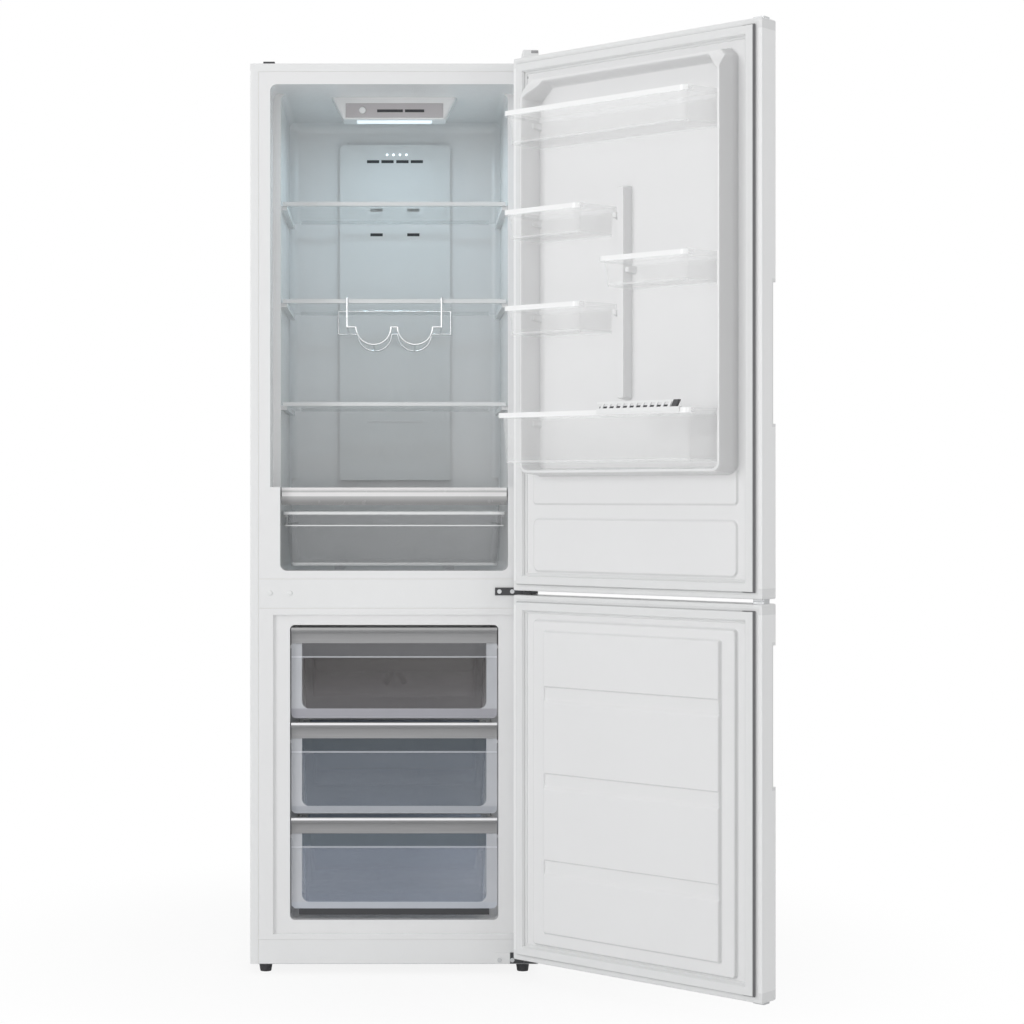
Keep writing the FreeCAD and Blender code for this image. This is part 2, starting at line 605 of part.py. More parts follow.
def make_hinges():
    side = (hinge_x - S.hinge_side, hinge_x + S.hinge_side)
    plate_x = (hinge_x - S.hinge_reach, hinge_x + S.hinge_side)
    arm_y = (hinge_y - S.hinge_side, front)
    plate_y = (front - S.hinge_plate, front)
    top = S.case_height
    top_plate = box(side, (arm_y[0], behind(S.hinge_reach / 2)), (top, top + S.hinge_plate))
    top_pin = pin(upper_door_top - S.pin_reach, top - upper_door_top + S.pin_reach + S.hinge_plate)
    piece("top_hinge", fuse(top_plate, top_pin))
    gap_middle = (S.upper_door_low + S.lower_door_top) / 2
    middle_arm = box(side, arm_y, (gap_middle - S.hinge_wall / 2, gap_middle + S.hinge_wall / 2))
    middle_plate = box(plate_x, plate_y, (gap_middle - S.hinge_wall * 2, gap_middle + S.hinge_wall * 2))
    middle_pin = pin(S.lower_door_top - S.pin_reach, S.upper_door_low - S.lower_door_top + S.pin_reach * 2)
    piece("middle_hinge", fuse(middle_arm, middle_plate, middle_pin))
    arm_top = S.lower_door_low - S.hinge_wall
    bottom_arm = box(side, arm_y, (arm_top - S.hinge_wall, arm_top))
    bottom_plate = box(plate_x, plate_y, (pan_top, S.lower_door_low + S.hinge_wall / 2))
    bottom_pin = pin(arm_top - S.hinge_wall, S.pin_reach + S.hinge_wall * 2)
    piece("bottom_hinge", fuse(bottom_arm, bottom_plate, bottom_pin))

    cover_out = fillet(box((side[0] - S.cover_gap, half_width - S.cover_gap),
                           (arm_y[0] - S.cover_gap, behind(S.hinge_reach / 2 + S.cover_gap)),
                           (top, top + S.hinge_cover)), S.cover_gap,
                       lambda edge: not near(edge.z, top) or edge.axis == "Z")
    cover_in = box((side[0] - S.seam, side[1] + S.seam),
                   (arm_y[0] - S.seam, behind(S.hinge_reach / 2) + S.seam),
                   (top - S.sheet, top + S.hinge_cover - S.cover_wall))
    piece("top_hinge_cover", cut(cover_out, cover_in))
    screw_x = (hinge_x - S.hinge_reach + S.screw_radius * 2, hinge_x - S.hinge_reach / 2)
    heads = []
    for x in screw_x:
        heads.append(rod(x, front - S.hinge_plate - S.screw_head, gap_middle, S.screw_radius, S.screw_head,
                         "Y"))
        heads.append(rod(x, front - S.hinge_plate - S.screw_head, S.foot_height + S.screw_radius * 2,
                         S.screw_radius, S.screw_head, "Y"))
    for depth in (S.screw_radius * 2, S.hinge_reach / 2 - S.screw_radius * 2):
        heads.append(rod(hinge_x, behind(depth), top + S.hinge_plate, S.screw_radius, S.screw_head))
    piece("hinge_screws", group(heads))


def slot_row(z, offsets, y):
    """A row of air slots, cut through a panel."""
    return [box((x - S.slot_width / 2, x + S.slot_width / 2), y, (z, z + S.slot_height)) for x in offsets]


def make_fridge_fittings():
    wall = behind(S.fridge_depth)
    cover = fillet(box(both(S.duct_half), (wall - S.duct_wall, wall), (S.duct_low, S.duct_top)),
                   S.duct_corner,
                   lambda edge: edge.axis == "Y" and near(edge.z, S.duct_top))
    hollow = box(both(S.duct_half - S.duct_wall), (wall - S.duct_wall + S.liner_wall, wall + S.sheet),
                 (S.duct_low + S.duct_wall, S.duct_top - S.duct_wall))
    through = (wall - S.duct_wall - S.sheet, wall - S.sheet)
    pair = (-S.slot_offset, S.slot_offset)
    slots = slot_row(S.duct_top - S.slot_offset,
                     (-S.slot_near - S.slot_pitch, -S.slot_near, S.slot_near, S.slot_near + S.slot_pitch),
                     through)
    slots += slot_row(S.upper_shelf + S.slot_width, pair, through)
    slots += slot_row(S.upper_shelf - S.slot_width, pair, through)
    long_slot = S.lower_shelf - S.slot_width
    slots.append(box(both(S.long_slot_half), through, (long_slot, long_slot + S.long_slot_height)))
    piece("duct_cover", cut(cover, hollow, *slots))

    top = S.fridge_top
    housing_y = (behind(S.housing_front), behind(S.housing_front) + S.housing_depth)
    housing = prism(rectangle(both(S.housing_low_half), housing_y),
                    rectangle(both(S.housing_half), housing_y),
                    S.housing_low, top, S.duct_corner / 2)
    lens_y = (housing_y[0] + S.lens_back, housing_y[0] + S.lens_back + S.lens_depth)
    lens_pocket = box(both(S.lens_half + S.seam), (lens_y[0] - S.seam, lens_y[1] + S.seam),
                      (S.housing_low - S.sheet, S.housing_low + S.lens_wall))
    panel_low = S.housing_low + S.panel_inset
    panel_z = (panel_low, panel_low + S.panel_height)
    panel_pocket = box(both(S.panel_half + S.seam), (housing_y[0] - S.sheet, housing_y[0] + S.panel_wall),
                       (panel_z[0] - S.seam, panel_z[1] + S.seam))
    button_z = (panel_z[0] + panel_z[1]) / 2
    well_depth = S.panel_wall + S.button_travel + S.button_radius
    button_well = rod(-S.button_offset, housing_y[0] - S.sheet, button_z, S.button_radius + S.running_gap,
                      well_depth + S.sheet, "Y")
    piece("control_housing", cut(housing, lens_pocket, panel_pocket, button_well))
    panel = box(both(S.panel_half), (housing_y[0] - S.sheet / 2, housing_y[0] + S.panel_wall), panel_z)
    piece("control_panel", cut(panel, button_well))
    button = rod(-S.button_offset, housing_y[0] - S.sheet * 2, button_z, S.button_radius, S.button_radius,
                 "Y")
    piece("temperature_button",
          fillet(button, S.sheet / 2, lambda edge: near(edge.y, housing_y[0] - S.sheet * 2)))
    piece("lamp_lens", box(both(S.lens_half), lens_y, (S.housing_low - S.sheet, S.housing_low + S.lens_wall)))


def make_shelves():
    start = behind(S.shelf_front)
    end = start + S.shelf_depth
    for name, level in (("upper_shelf", S.upper_shelf), ("middle_shelf", S.middle_shelf),
                        ("lower_shelf", S.lower_shelf)):
        glass_y = (start + S.liner_wall, end - S.liner_wall)
        under = level - S.glass_wall
        piece(f"{name}_glass", box(both(S.shelf_half - S.liner_wall), glass_y, (under, level)))
        low = under - (S.trim_height - S.glass_wall) / 2
        high = low + S.trim_height
        lip = start + S.trim_depth
        front_trim = extruded([(start, low), (lip, low), (lip, under), (glass_y[0], under),
                               (glass_y[0], level),
                               (lip, level), (lip, high), (start, high)], both(S.shelf_half))
        tail = end - S.trim_depth
        rear_half = S.shelf_half - S.rib_width * 2
        rear_trim = extruded([(end, low), (tail, low), (tail, under), (glass_y[1], under),
                              (glass_y[1], level),
                              (tail, level), (tail, high), (end, high)], both(rear_half))
        piece(f"{name}_trim", group([front_trim, rear_trim]))


def make_rack():
    """Two cradles of bent wire for lying bottles, hooked over the middle shelf's front trim."""
    radius = S.rack_wire / 2
    trim_low = S.middle_shelf - S.glass_wall - (S.trim_height - S.glass_wall) / 2
    saddle = S.middle_shelf - S.rack_drop
    cradle = S.bottle_width / 2 + radius
    front_y = behind(S.shelf_front) - radius - S.seam
    rear_y = front_y + S.rack_length
    hook_top = trim_low + S.trim_height + radius + S.seam
    rear_top = S.middle_shelf - S.glass_wall - radius - S.seam
    hanging = Rotation(Vector(1, 0, 0), -90)
    link = S.hook_half - S.bottle_half - cradle
    wires = []
    for y in (front_y, rear_y):
        wires.append(rod(-S.hook_half, y, saddle, radius, link, "X"))
        wires.append(rod(cradle - S.bottle_half, y, saddle, radius, (S.bottle_half - cradle) * 2, "X"))
        wires.append(rod(S.bottle_half + cradle, y, saddle, radius, link, "X"))
        for side in (-1, 1):
            wires.append(half_ring(S.bottle_half * side, y, saddle, cradle, radius, hanging))
            wires.append(ball(S.hook_half * side, y, saddle, radius))
    for side in (-1, 1):
        hook_x = S.hook_half * side
        rear_x = S.rack_half * side
        wires.append(rod(hook_x, front_y, saddle, radius, hook_top - saddle))
        wires.append(ball(hook_x, front_y, hook_top, radius))
        wires.append(rod(hook_x, front_y, hook_top, radius, S.trim_depth, "Y"))
        wires.append(ball(hook_x, front_y + S.trim_depth, hook_top, radius))
        wires.append(rod(hook_x, front_y, saddle, radius, S.rack_length, "Y"))
        wires.append(rod(S.bottle_half * side, front_y, saddle - cradle, radius, S.rack_length, "Y"))
        wires.append(rod(rear_x, rear_y, saddle, radius, rear_top - saddle))
        wires.append(ball(rear_x, rear_y, saddle, radius))
        wires.append(ball(rear_x, rear_y, rear_top, radius))
    wires.append(rod(-S.rack_half, rear_y, rear_top, radius, S.rack_half * 2, "X"))
    wires.append(rod(-S.rack_half, rear_y, saddle, radius, S.rack_half - S.hook_half, "X"))
    wires.append(rod(S.hook_half, rear_y, saddle, radius, S.rack_half - S.hook_half, "X"))
    piece("bottle_rack", fuse(*wires))


def make_crisper():
    start = behind(S.lid_front)
    end = start + S.lid_depth
    top = S.lid_top
    shelf_under = top - S.glass_wall
    lid_under = top - S.lid_drop / 2
    apron = top - S.lid_drop
    lip = start + S.trim_depth
    groove = S.liner_wall
    frame_front = extruded([
        (start, apron), (start + groove, apron), (start + groove, lid_under), (lip, lid_under),
        (lip, shelf_under),
        (start + groove, shelf_under), (start + groove, top), (start, top), (start, top - S.trim_height / 2),
        (start + groove / 2, top - S.trim_height / 2), (start + groove / 2, top - S.trim_height),
        (start, top - S.trim_height)], both(S.lid_half))
    sides = [box(x, (lip, end), (lid_under, shelf_under))
             for x in ((-S.lid_half, -S.lid_half + S.trim_depth), (S.lid_half - S.trim_depth, S.lid_half))]
    rear = box(both(S.lid_half), (end - S.trim_depth, end), (lid_under, shelf_under))
    piece("crisper_lid_frame", fuse(frame_front, *sides, rear))
    piece("crisper_lid_glass",
          box(both(S.lid_half - S.seam), (start + groove + S.seam, end), (shelf_under, top)))

    near_y = behind(S.crisper_front)
    far_y = near_y + S.crisper_depth
    rim_corners = rectangle(both(S.crisper_half), (near_y, far_y))
    body_top = moved_in(rim_corners, S.bin_lip)
    body_low = rectangle(both(S.crisper_half - S.crisper_draft * 2),
                         (near_y + S.crisper_draft, far_y - S.crisper_draft))
    body = tub(body_low, body_top, S.crisper_low, S.crisper_top, S.crisper_wall, S.fridge_corner)
    rim = ring(rim_corners, S.bin_lip + S.crisper_wall, S.crisper_top - S.bin_rim, S.crisper_top,
               S.fridge_corner)
    bead = ring(moved_in(rim_corners, S.bin_lip / 2), S.bin_lip + S.sheet, S.crisper_top - S.bin_rim * 3,
                S.crisper_top - S.bin_rim * 3 + S.bin_lip, S.fridge_corner)
    runners = [box((S.crisper_half * side / 2 - S.bin_rim, S.crisper_half * side / 2 + S.bin_rim),
                   (near_y + S.strip_height, far_y - S.strip_height),
                   (S.bay_floor + S.running_gap, S.crisper_low + S.sheet)) for side in (-1, 1)]
    piece("crisper_drawer", fuse(body, rim, bead, *runners))


def make_freezer_drawers():
    for name, top in zip(("upper", "middle", "lower"), drawer_levels()):
        low = top - S.drawer_height
        strip_low = top - S.strip_height
        near_y = behind(S.drawer_front)
        panel_back = near_y + S.drawer_panel
        depth = S.short_drawer_depth if name == "lower" else S.drawer_depth
        far_y = near_y + depth
        tub_low = low + S.bin_rim
        rim = rectangle(both(S.tub_half), (near_y, far_y))
        floor = rectangle(both(S.tub_half - S.tub_draft), (near_y, far_y - S.tub_draft))
        body = tub(floor, rim, tub_low, strip_low, S.tub_wall, S.fridge_corner)
        flange_z = (strip_low - S.tub_wall * 2, strip_low)
        flanges = [box(x, (panel_back, far_y - S.fridge_corner), flange_z)
                   for x in ((-S.tub_half - S.tub_flange, -S.tub_half + S.tub_wall / 2),
                             (S.tub_half - S.tub_wall / 2, S.tub_half + S.tub_flange))]
        panel = fillet(box(both(S.drawer_half), (near_y, panel_back), (low, strip_low)), S.freezer_corner,
                       lambda edge, low=low: edge.axis == "Y" and near(edge.z, low))
        ridge_z = strip_low - S.strip_height
        ridge = box(both(S.drawer_half), (near_y - S.sheet, near_y + S.sheet),
                    (ridge_z, ridge_z + S.tub_wall))
        piece(f"{name}_freezer_drawer", fuse(body, panel, ridge, *flanges))
        strip_front = near_y - S.strip_depth / 2
        hook = S.strip_wall
        strip = extruded([
            (near_y + S.seam, strip_low + S.seam), (panel_back, strip_low + S.seam), (panel_back, top),
            (strip_front, top), (strip_front - hook, top - hook * 3), (strip_front, top - hook * 5),
            (strip_front + hook, top - hook * 3), (near_y + S.seam, top - hook * 2)], both(S.drawer_half))
        piece(f"{name}_drawer_handle", strip)


def make_cooling():
    wall = behind(S.grille_depth)
    span = both(S.freezer_half - S.running_gap)
    plate = box(span, (wall, wall + S.grille_wall),
                (S.hump_top + S.running_gap, S.freezer_top - S.freezer_corner))
    through = (wall - S.sheet, wall + S.grille_wall + S.sheet)
    offsets = (-S.slot_offset * 3, -S.slot_offset * 2, S.slot_offset * 2, S.slot_offset * 3)
    slots = slot_row(S.fan_height, offsets, through)
    slots += slot_row(S.hump_top + S.slot_width, offsets, through)
    opening = rod(0, through[0], S.fan_height, S.fan_radius - S.fan_gap * 2, S.grille_wall + S.sheet * 2, "Y")
    arms = [box(both(S.fan_radius), (wall, wall + S.grille_wall),
                (S.fan_height - S.fan_gap / 2, S.fan_height + S.fan_gap / 2)),
            box(both(S.fan_gap / 2), (wall, wall + S.grille_wall),
                (S.fan_height - S.fan_radius, S.fan_height + S.fan_radius))]
    piece("freezer_duct_cover", fuse(cut(plate, opening, *slots), *arms))

    blade_y = wall + S.grille_wall + S.fan_gap
    motor_y = blade_y + S.fan_depth + S.fan_gap
    hub = rod(0, blade_y, S.fan_height, S.hub_radius, S.fan_depth, "Y")
    blades = []
    for index in range(FAN_BLADES):
        angle = 360 / FAN_BLADES * index
        blade = doc.addObject("Part::Box", "Blade")
        bind(blade, Length=S.fan_radius - S.fan_gap - S.hub_radius / 2, Width=S.blade_wall,
             Height=S.fan_depth)
        spin = Rotation(Vector(0, 1, 0), angle).multiply(Rotation(Vector(1, 0, 0), S.blade_pitch.value))
        blade.Placement = Placement(Vector(), spin)
        reach = value_of(S.hub_radius) / 2
        centre = value_of(S.fan_depth) / 2
        along = spin.multVec(Vector(reach, -value_of(S.blade_wall) / 2, -centre))
        place(blade, along.x, blade_y + centre + along.y, S.fan_height + along.z)
        blades.append(blade)
    bore = rod(0, blade_y - S.sheet, S.fan_height, S.shaft_radius + S.pin_gap, S.fan_depth + S.sheet * 2, "Y")
    swept = rod(0, blade_y, S.fan_height, S.fan_radius - S.fan_gap, S.fan_depth, "Y")
    trimmed = doc.addObject("Part::Common", "Trimmed")
    trimmed.Base = fuse(hub, *blades)
    trimmed.Tool = swept
    piece("fan_blade", cut(trimmed, bore))
    can = rod(0, motor_y, S.fan_height, S.motor_radius, S.motor_depth, "Y")
    shaft = rod(0, blade_y + S.sheet, S.fan_height, S.shaft_radius, S.fan_depth + S.fan_gap, "Y")
    motor_back = motor_y + S.motor_depth
    mount = box(both(S.fan_radius), (motor_back, behind(S.freezer_depth)),
                (S.fan_height - S.hub_radius, S.fan_height + S.hub_radius))
    piece("fan_motor", fuse(can, shaft, mount))

    coil_y = behind(S.freezer_depth) - S.coil_depth
    fin_count = int(value_of(S.coil_half) * 2 / value_of(S.fin_step))
    fins = [box((-S.coil_half + S.fin_step * index, -S.coil_half + S.fin_step * index + S.fin_wall),
                (coil_y, behind(S.freezer_depth)), (S.coil_low, S.coil_top)) for index in range(fin_count)]
    tubes = []
    tube_count = int((value_of(S.coil_top) - value_of(S.coil_low)) / value_of(S.tube_step))
    for index in range(tube_count):
        z = S.coil_low + S.tube_step * index + S.tube_step / 2
        tubes.append(rod(-S.coil_half - S.tube_radius, coil_y + S.coil_depth / 2, z, S.tube_radius,
                         S.coil_half * 2 + S.tube_radius * 2, "X"))
    piece("evaporator", fuse(*fins, *tubes))


def make_machine_space():
    middle_y = (machine_front + back) / 2
    radius = S.compressor_radius
    foot = pan_top + S.compressor_foot
    waist = (foot + S.compressor_top) / 2
    shell = turned([(0, foot), (radius * 0.62, foot), (radius * 0.9, foot + radius * 0.2),
                    (radius, waist - radius * 0.3),
                    (radius, waist + radius * 0.3), (radius * 0.86, S.compressor_top - radius * 0.2),
                    (radius * 0.5, S.compressor_top), (0, S.compressor_top)])
    place(shell, S.compressor_x, middle_y, 0)
    tray_z = (pan_top + S.compressor_foot / 2, foot + S.sheet * 2)
    cradle = box((S.compressor_x - radius, S.compressor_x + radius),
                 (middle_y - radius / 2, middle_y + radius / 2), tray_z)
    feet = []
    for side_x in (-1, 1):
        for side_y in (-1, 1):
            feet.append(rod(S.compressor_x + radius * 0.85 * side_x, middle_y + radius * 0.35 * side_y,
                            pan_top,
                            S.tube_radius * 2, S.compressor_foot / 2 + S.sheet))
    terminals = box((S.compressor_x + radius * 0.8, S.compressor_x + radius * 1.3),
                    (middle_y - radius * 0.4, middle_y + radius * 0.4),
                    (waist - radius * 0.3, waist + radius * 0.3))
    piece("compressor", fuse(shell, cradle, terminals, *feet))

    tray_y = (machine_front + S.cover_gap, back - S.cover_gap * 4)
    tray_x = (S.compressor_x - S.tray_half, S.compressor_x + S.tray_half)
    shallow = rectangle(tray_x, tray_y)
    piece("drip_tray",
          tub(moved_in(shallow, S.tray_wall * 2), shallow, S.compressor_top,
              S.compressor_top + S.tray_height, S.tray_wall,
                           S.fridge_corner))

    cover = box(both(inner_half - S.seam), (back - S.sheet, back),
                (pan_top + S.cover_gap, S.machine_top - S.seam))
    louvres = []
    for index in range(LOUVRE_COUNT):
        z = pan_top + S.louvre_step + S.louvre_step * index
        for x in (-S.louvre_half * 3, 0, S.louvre_half * 3):
            louvres.append(box((x - S.louvre_half, x + S.louvre_half), (back - S.sheet * 2, back + S.sheet),
                               (z, z + S.louvre_height)))
    piece("rear_cover", cut(cover, *louvres))

    wire = S.pipe_radius
    passes = []
    loop = S.louvre_step
    coil_count = 6
    coil_y = machine_front + S.cover_gap + loop
    turn_right = Rotation(Vector(0, 1, 0), 90).multiply(Rotation(Vector(1, 0, 0), 90))
    for index in range(coil_count):
        z = pan_top + loop * (index + 1)
        passes.append(rod(S.coil_left, coil_y, z, wire, S.coil_right - S.coil_left, "X"))
    for index in range(coil_count - 1):
        z = pan_top + loop * (index + 1)
        x = S.coil_right if index % 2 == 0 else S.coil_left
        passes.append(rod(x, coil_y, z, wire, loop))
        passes.append(ball(x, coil_y, z, wire))
        passes.append(ball(x, coil_y, z + loop, wire))
    rise_y = coil_y
    top_z = pan_top + loop * coil_count
    passes.append(ball(S.coil_left, coil_y, top_z, wire))
    passes.append(rod(S.coil_left, rise_y, top_z, wire, S.machine_top - top_z))
    low_z = pan_top + loop
    passes.append(ball(S.coil_left, coil_y, low_z, wire))
    joint_y = middle_y
    passes.append(rod(S.coil_left, coil_y, low_z, wire, joint_y - coil_y, "Y"))
    passes.append(ball(S.coil_left, joint_y, low_z, wire))
    passes.append(rod(S.coil_left, joint_y, low_z, wire, waist - low_z))
    passes.append(ball(S.coil_left, joint_y, waist, wire))
    passes.append(rod(S.coil_left, joint_y, waist, wire, S.compressor_x - radius - S.coil_left, "X"))
    piece("refrigerant_pipes", fuse(*passes))


def grip_space(low):
    """The corner of a door's free edge that the grip cup fills."""
    return box((-half_width - S.sheet, -half_width + S.grip_width),
               (door_outside - S.sheet, door_outside + S.grip_depth),
               (low, low + S.grip_length))


def make_door_body(name, low, top, grip_low):
    core_z = (low + S.cap_height, top - S.cap_height)
    beyond_z = (low, top)
    depth = (door_outside, door_inside)
    near_outside = lambda edge: edge.axis == "Z" and edge.y < value_of(door_outside + S.door_thick / 2)
    outside = fillet(box(both(half_width), depth, core_z), S.door_corner, near_outside)
    hollow = fillet(box(both(inner_half), (door_outside + S.sheet, door_inside - S.sheet), beyond_z),
                    S.door_corner - S.sheet, near_outside)
    mouth = box(both(half_width - S.return_width), (door_inside - S.sheet * 2, door_inside + S.sheet),
                beyond_z)
    grip = grip_space(grip_low)
    door_piece(f"{name}_door_skin", cut(outside, hollow, mouth, grip))

    core = fillet(box(both(inner_half), (door_outside + S.sheet, door_inside - S.liner_wall), core_z),
                  S.door_corner - S.sheet, near_outside)
    door_piece(f"{name}_door_foam", cut(core, grip))

    cup = fillet(box((-half_width, -half_width + S.grip_width), (door_outside, door_outside + S.grip_depth),
                     (grip_low, grip_low + S.grip_length)), S.door_corner,
                 lambda edge: edge.axis == "Z" and near(edge.x, -half_width) and near(edge.y, door_outside))
    scoop_radius = S.grip_width
    scoop = rod(-half_width, door_outside - S.grip_wall * 3, grip_low + S.grip_wall * 2,
                scoop_radius - S.grip_wall,
                S.grip_length - S.grip_wall * 4)
    bores = [rod(hinge_x, hinge_y, low - S.sheet, S.pin_radius + S.pin_gap, S.pin_reach + S.sheet * 2),
             rod(hinge_x, hinge_y, top - S.pin_reach - S.sheet, S.pin_radius + S.pin_gap,
                 S.pin_reach + S.sheet * 2)]
    caps = []
    for cap_z, bore, face in (((low, core_z[0]), bores[0], low), ((core_z[1], top), bores[1], top)):
        block = fillet(box(both(half_width), depth, cap_z), S.door_corner, near_outside)
        soft = fillet(block, S.cover_gap,
                      lambda edge, face=face: near(edge.z, face) and edge.box.ZLength < 0.1)
        caps.append(cut(soft, bore))
    door_piece(f"{name}_door_mouldings", group([cut(cup, scoop)] + caps))

    outer = rectangle(both(half_width - S.gasket_inset), (low + S.gasket_inset, top - S.gasket_inset))
    bulb_inset = S.bulb_inset
    bulb = rectangle(both(half_width - bulb_inset), (low + bulb_inset, top - bulb_inset))
    foot_ring = frame(outer, S.gasket_width, (door_inside, door_inside + S.gasket_foot))
    bulb_ring = frame(bulb, S.bulb_width, (door_inside, front - S.gasket_gap))
    door_piece(f"{name}_door_gasket", fuse(foot_ring, bulb_ring))


def frame(corners, width, y):
    """A rectangular frame that stands in the X and Z directions."""
    (left, low), _, (right, top), _ = corners
    outside = box((left, right), y, (low, top))
    inside = box((left + width, right - width), (y[0] - S.sheet, y[1] + S.sheet), (low + width, top - width))
    return cut(outside, inside)


def liner_plate(low, top):
    plate_half = half_width - S.return_width - S.seam
    return box(both(plate_half), (door_inside - S.liner_wall, door_inside),
               (low + S.cap_height + S.seam, top - S.cap_height - S.seam))


def raised(x, z, height, corner, edge_radius):
    """A raised panel on a door's inside, with round corners and a soft edge."""
    face = door_inside + height
    block = fillet(box(x, (door_inside - S.sheet, face), z), corner, lambda edge: edge.axis == "Y")
    return fillet(block, edge_radius, lambda edge: near(edge.box.YMin, face) and near(edge.box.YMax, face))


def bin_list():
    """Each bin's name, its ends across the shut door, floor, rim, reach and draw-in at its free end."""
    inside = S.dyke_half - S.dyke_wall - S.bin_gap
    full = both(inside)
    left = (S.spine_right + S.left_bin_gap, inside)
    right = (-inside, S.spine_left - S.right_bin_gap)
    return (
        ("top_bin", full, S.top_bin_low, S.top_bin_rim, S.bin_reach, S.bin_skew),
        ("left_upper_bin", left, S.left_upper_low, S.left_upper_rim, S.bin_reach, S.left_skew),
        ("left_lower_bin", left, S.left_lower_low, S.left_lower_rim, S.bin_reach, S.left_skew),
        ("right_bin", right, S.right_bin_low, S.right_bin_rim, S.bin_reach, S.bin_skew),
        ("bottle_bin", full, S.bottle_bin_low, S.bottle_bin_rim, S.bottle_reach, S.bottle_skew),
    )


def bin_lugs():
    """The small ledges inside the door's raised rim and on its spine that the bins' rims rest on."""
    lugs = []
    inner = S.dyke_half - S.dyke_wall
    y = (door_inside + S.lug_setback, door_inside + S.lug_setback + S.lug_depth)
    for _, ends, _, rim, _, _ in bin_list():
        top = rim - S.bin_rim - S.seam
        z = (top - S.lug_height, top)
        for end, sign in ((ends[0], 1), (ends[1], -1)):
            if abs(value_of(end)) > value_of(inner) / 2:
                wall = inner * -sign
            elif sign > 0:
                wall = S.spine_right
            else:
                wall = S.spine_left
            limit = end + S.lug_width * sign
            root = wall - S.sheet * sign
            lugs.append(box((root, limit) if sign > 0 else (limit, root), y, z))
    return lugs


def make_upper_liner():
    plate = liner_plate(S.upper_door_low, upper_door_top)
    dyke = raised(both(S.dyke_half), (S.dyke_low, S.dyke_top), S.dyke_height, S.dyke_corner, S.dyke_edge)
    face = door_inside + S.dyke_height
    dip = extruded([(face + S.sheet, S.dyke_top - S.dyke_slope),
                    (face - S.dyke_dip, S.dyke_top - S.dyke_wall),
                    (face - S.dyke_dip, S.dyke_top + S.sheet), (face + S.sheet, S.dyke_top + S.sheet)],
                   both(S.dyke_half + S.sheet))
    well = fillet(box(both(S.dyke_half - S.dyke_wall), (door_inside, door_inside + S.dyke_height * 2),
                      (S.dyke_low + S.dyke_wall, S.dyke_top - S.dyke_wall)), S.dyke_corner - S.dyke_wall,
                  lambda edge: edge.axis == "Y")
    spine = raised((S.spine_left, S.spine_right), (S.spine_low, S.spine_top), S.spine_height,
                   S.dyke_edge * 2, S.dyke_edge)
    step = raised(both(S.dyke_half), (S.step_low, S.dyke_low + S.dyke_wall), S.pad_height, S.pad_corner,
                  S.dyke_edge)
    pad = raised(both(S.dyke_half), (S.pad_low, S.pad_top), S.pad_height, S.pad_corner, S.dyke_edge)
    rim = cut(dyke, well, dip)
    door_piece("upper_door_liner", fuse(plate, rim, spine, cut(step, well), pad, *bin_lugs()))


def make_lower_liner():
    plate = liner_plate(S.lower_door_low, S.lower_door_top)
    plain = raised(both(S.dyke_half), (S.plain_low, S.plain_top), S.plain_height, S.dyke_corner, S.dyke_edge)
    block = raised(both(S.block_half), (S.block_low, S.block_top), S.block_height, S.pad_corner, S.dyke_edge)
    face = door_inside + S.block_height
    grooves = []
    for index in range(GROOVE_COUNT):
        low = S.groove_first + S.groove_step * index
        grooves.append(box(both(S.block_half - S.groove_inset), (face - S.groove_depth, face + S.sheet),
                           (low, low + S.groove_height)))
    door_piece("lower_door_liner", fuse(plate, plain, cut(block, *grooves)))


def bin_corners(ends, reach, skew):
    """A bin's rim seen from above on the shut door: the free end is drawn in towards the front."""
    near_y = door_inside + S.bin_setback
    far_y = door_inside + reach
    return [(ends[0], near_y), (ends[1], near_y), (ends[1], far_y), (ends[0] + skew, far_y)]


def make_bins():
    for name, ends, low, rim, reach, skew in bin_list():
        rim_corners = bin_corners(ends, reach, skew)
        top_corners = moved_in(rim_corners, S.bin_lip)
        drawn = (ends[0] + S.bin_draft, ends[1] - S.bin_draft)
        low_corners = bin_corners(drawn, reach - S.bin_draft, skew)
        neck = bin_corners((ends[0] + S.bin_draft - S.bin_wall, ends[1] - S.bin_draft + S.bin_wall),
                           reach - S.bin_lip, skew)
        body = tub(low_corners, neck, low, rim - S.bin_rim, S.bin_wall, S.bin_corner)
        ledge_z = (rim - S.bin_rim, rim - S.bin_rim + S.bin_wall)
        hole = moved_in(neck, S.bin_wall)
        collar = cut(prism(rim_corners, rim_corners, *ledge_z, S.bin_corner),
                     prism(hole, hole, ledge_z[0] - S.sheet, ledge_z[1] + S.sheet, S.bin_corner - S.bin_wall))
        lip = ring(rim_corners, S.bin_lip, rim - S.bin_rim, rim, S.bin_corner)
        door_piece(name, fuse(body, collar, lip))


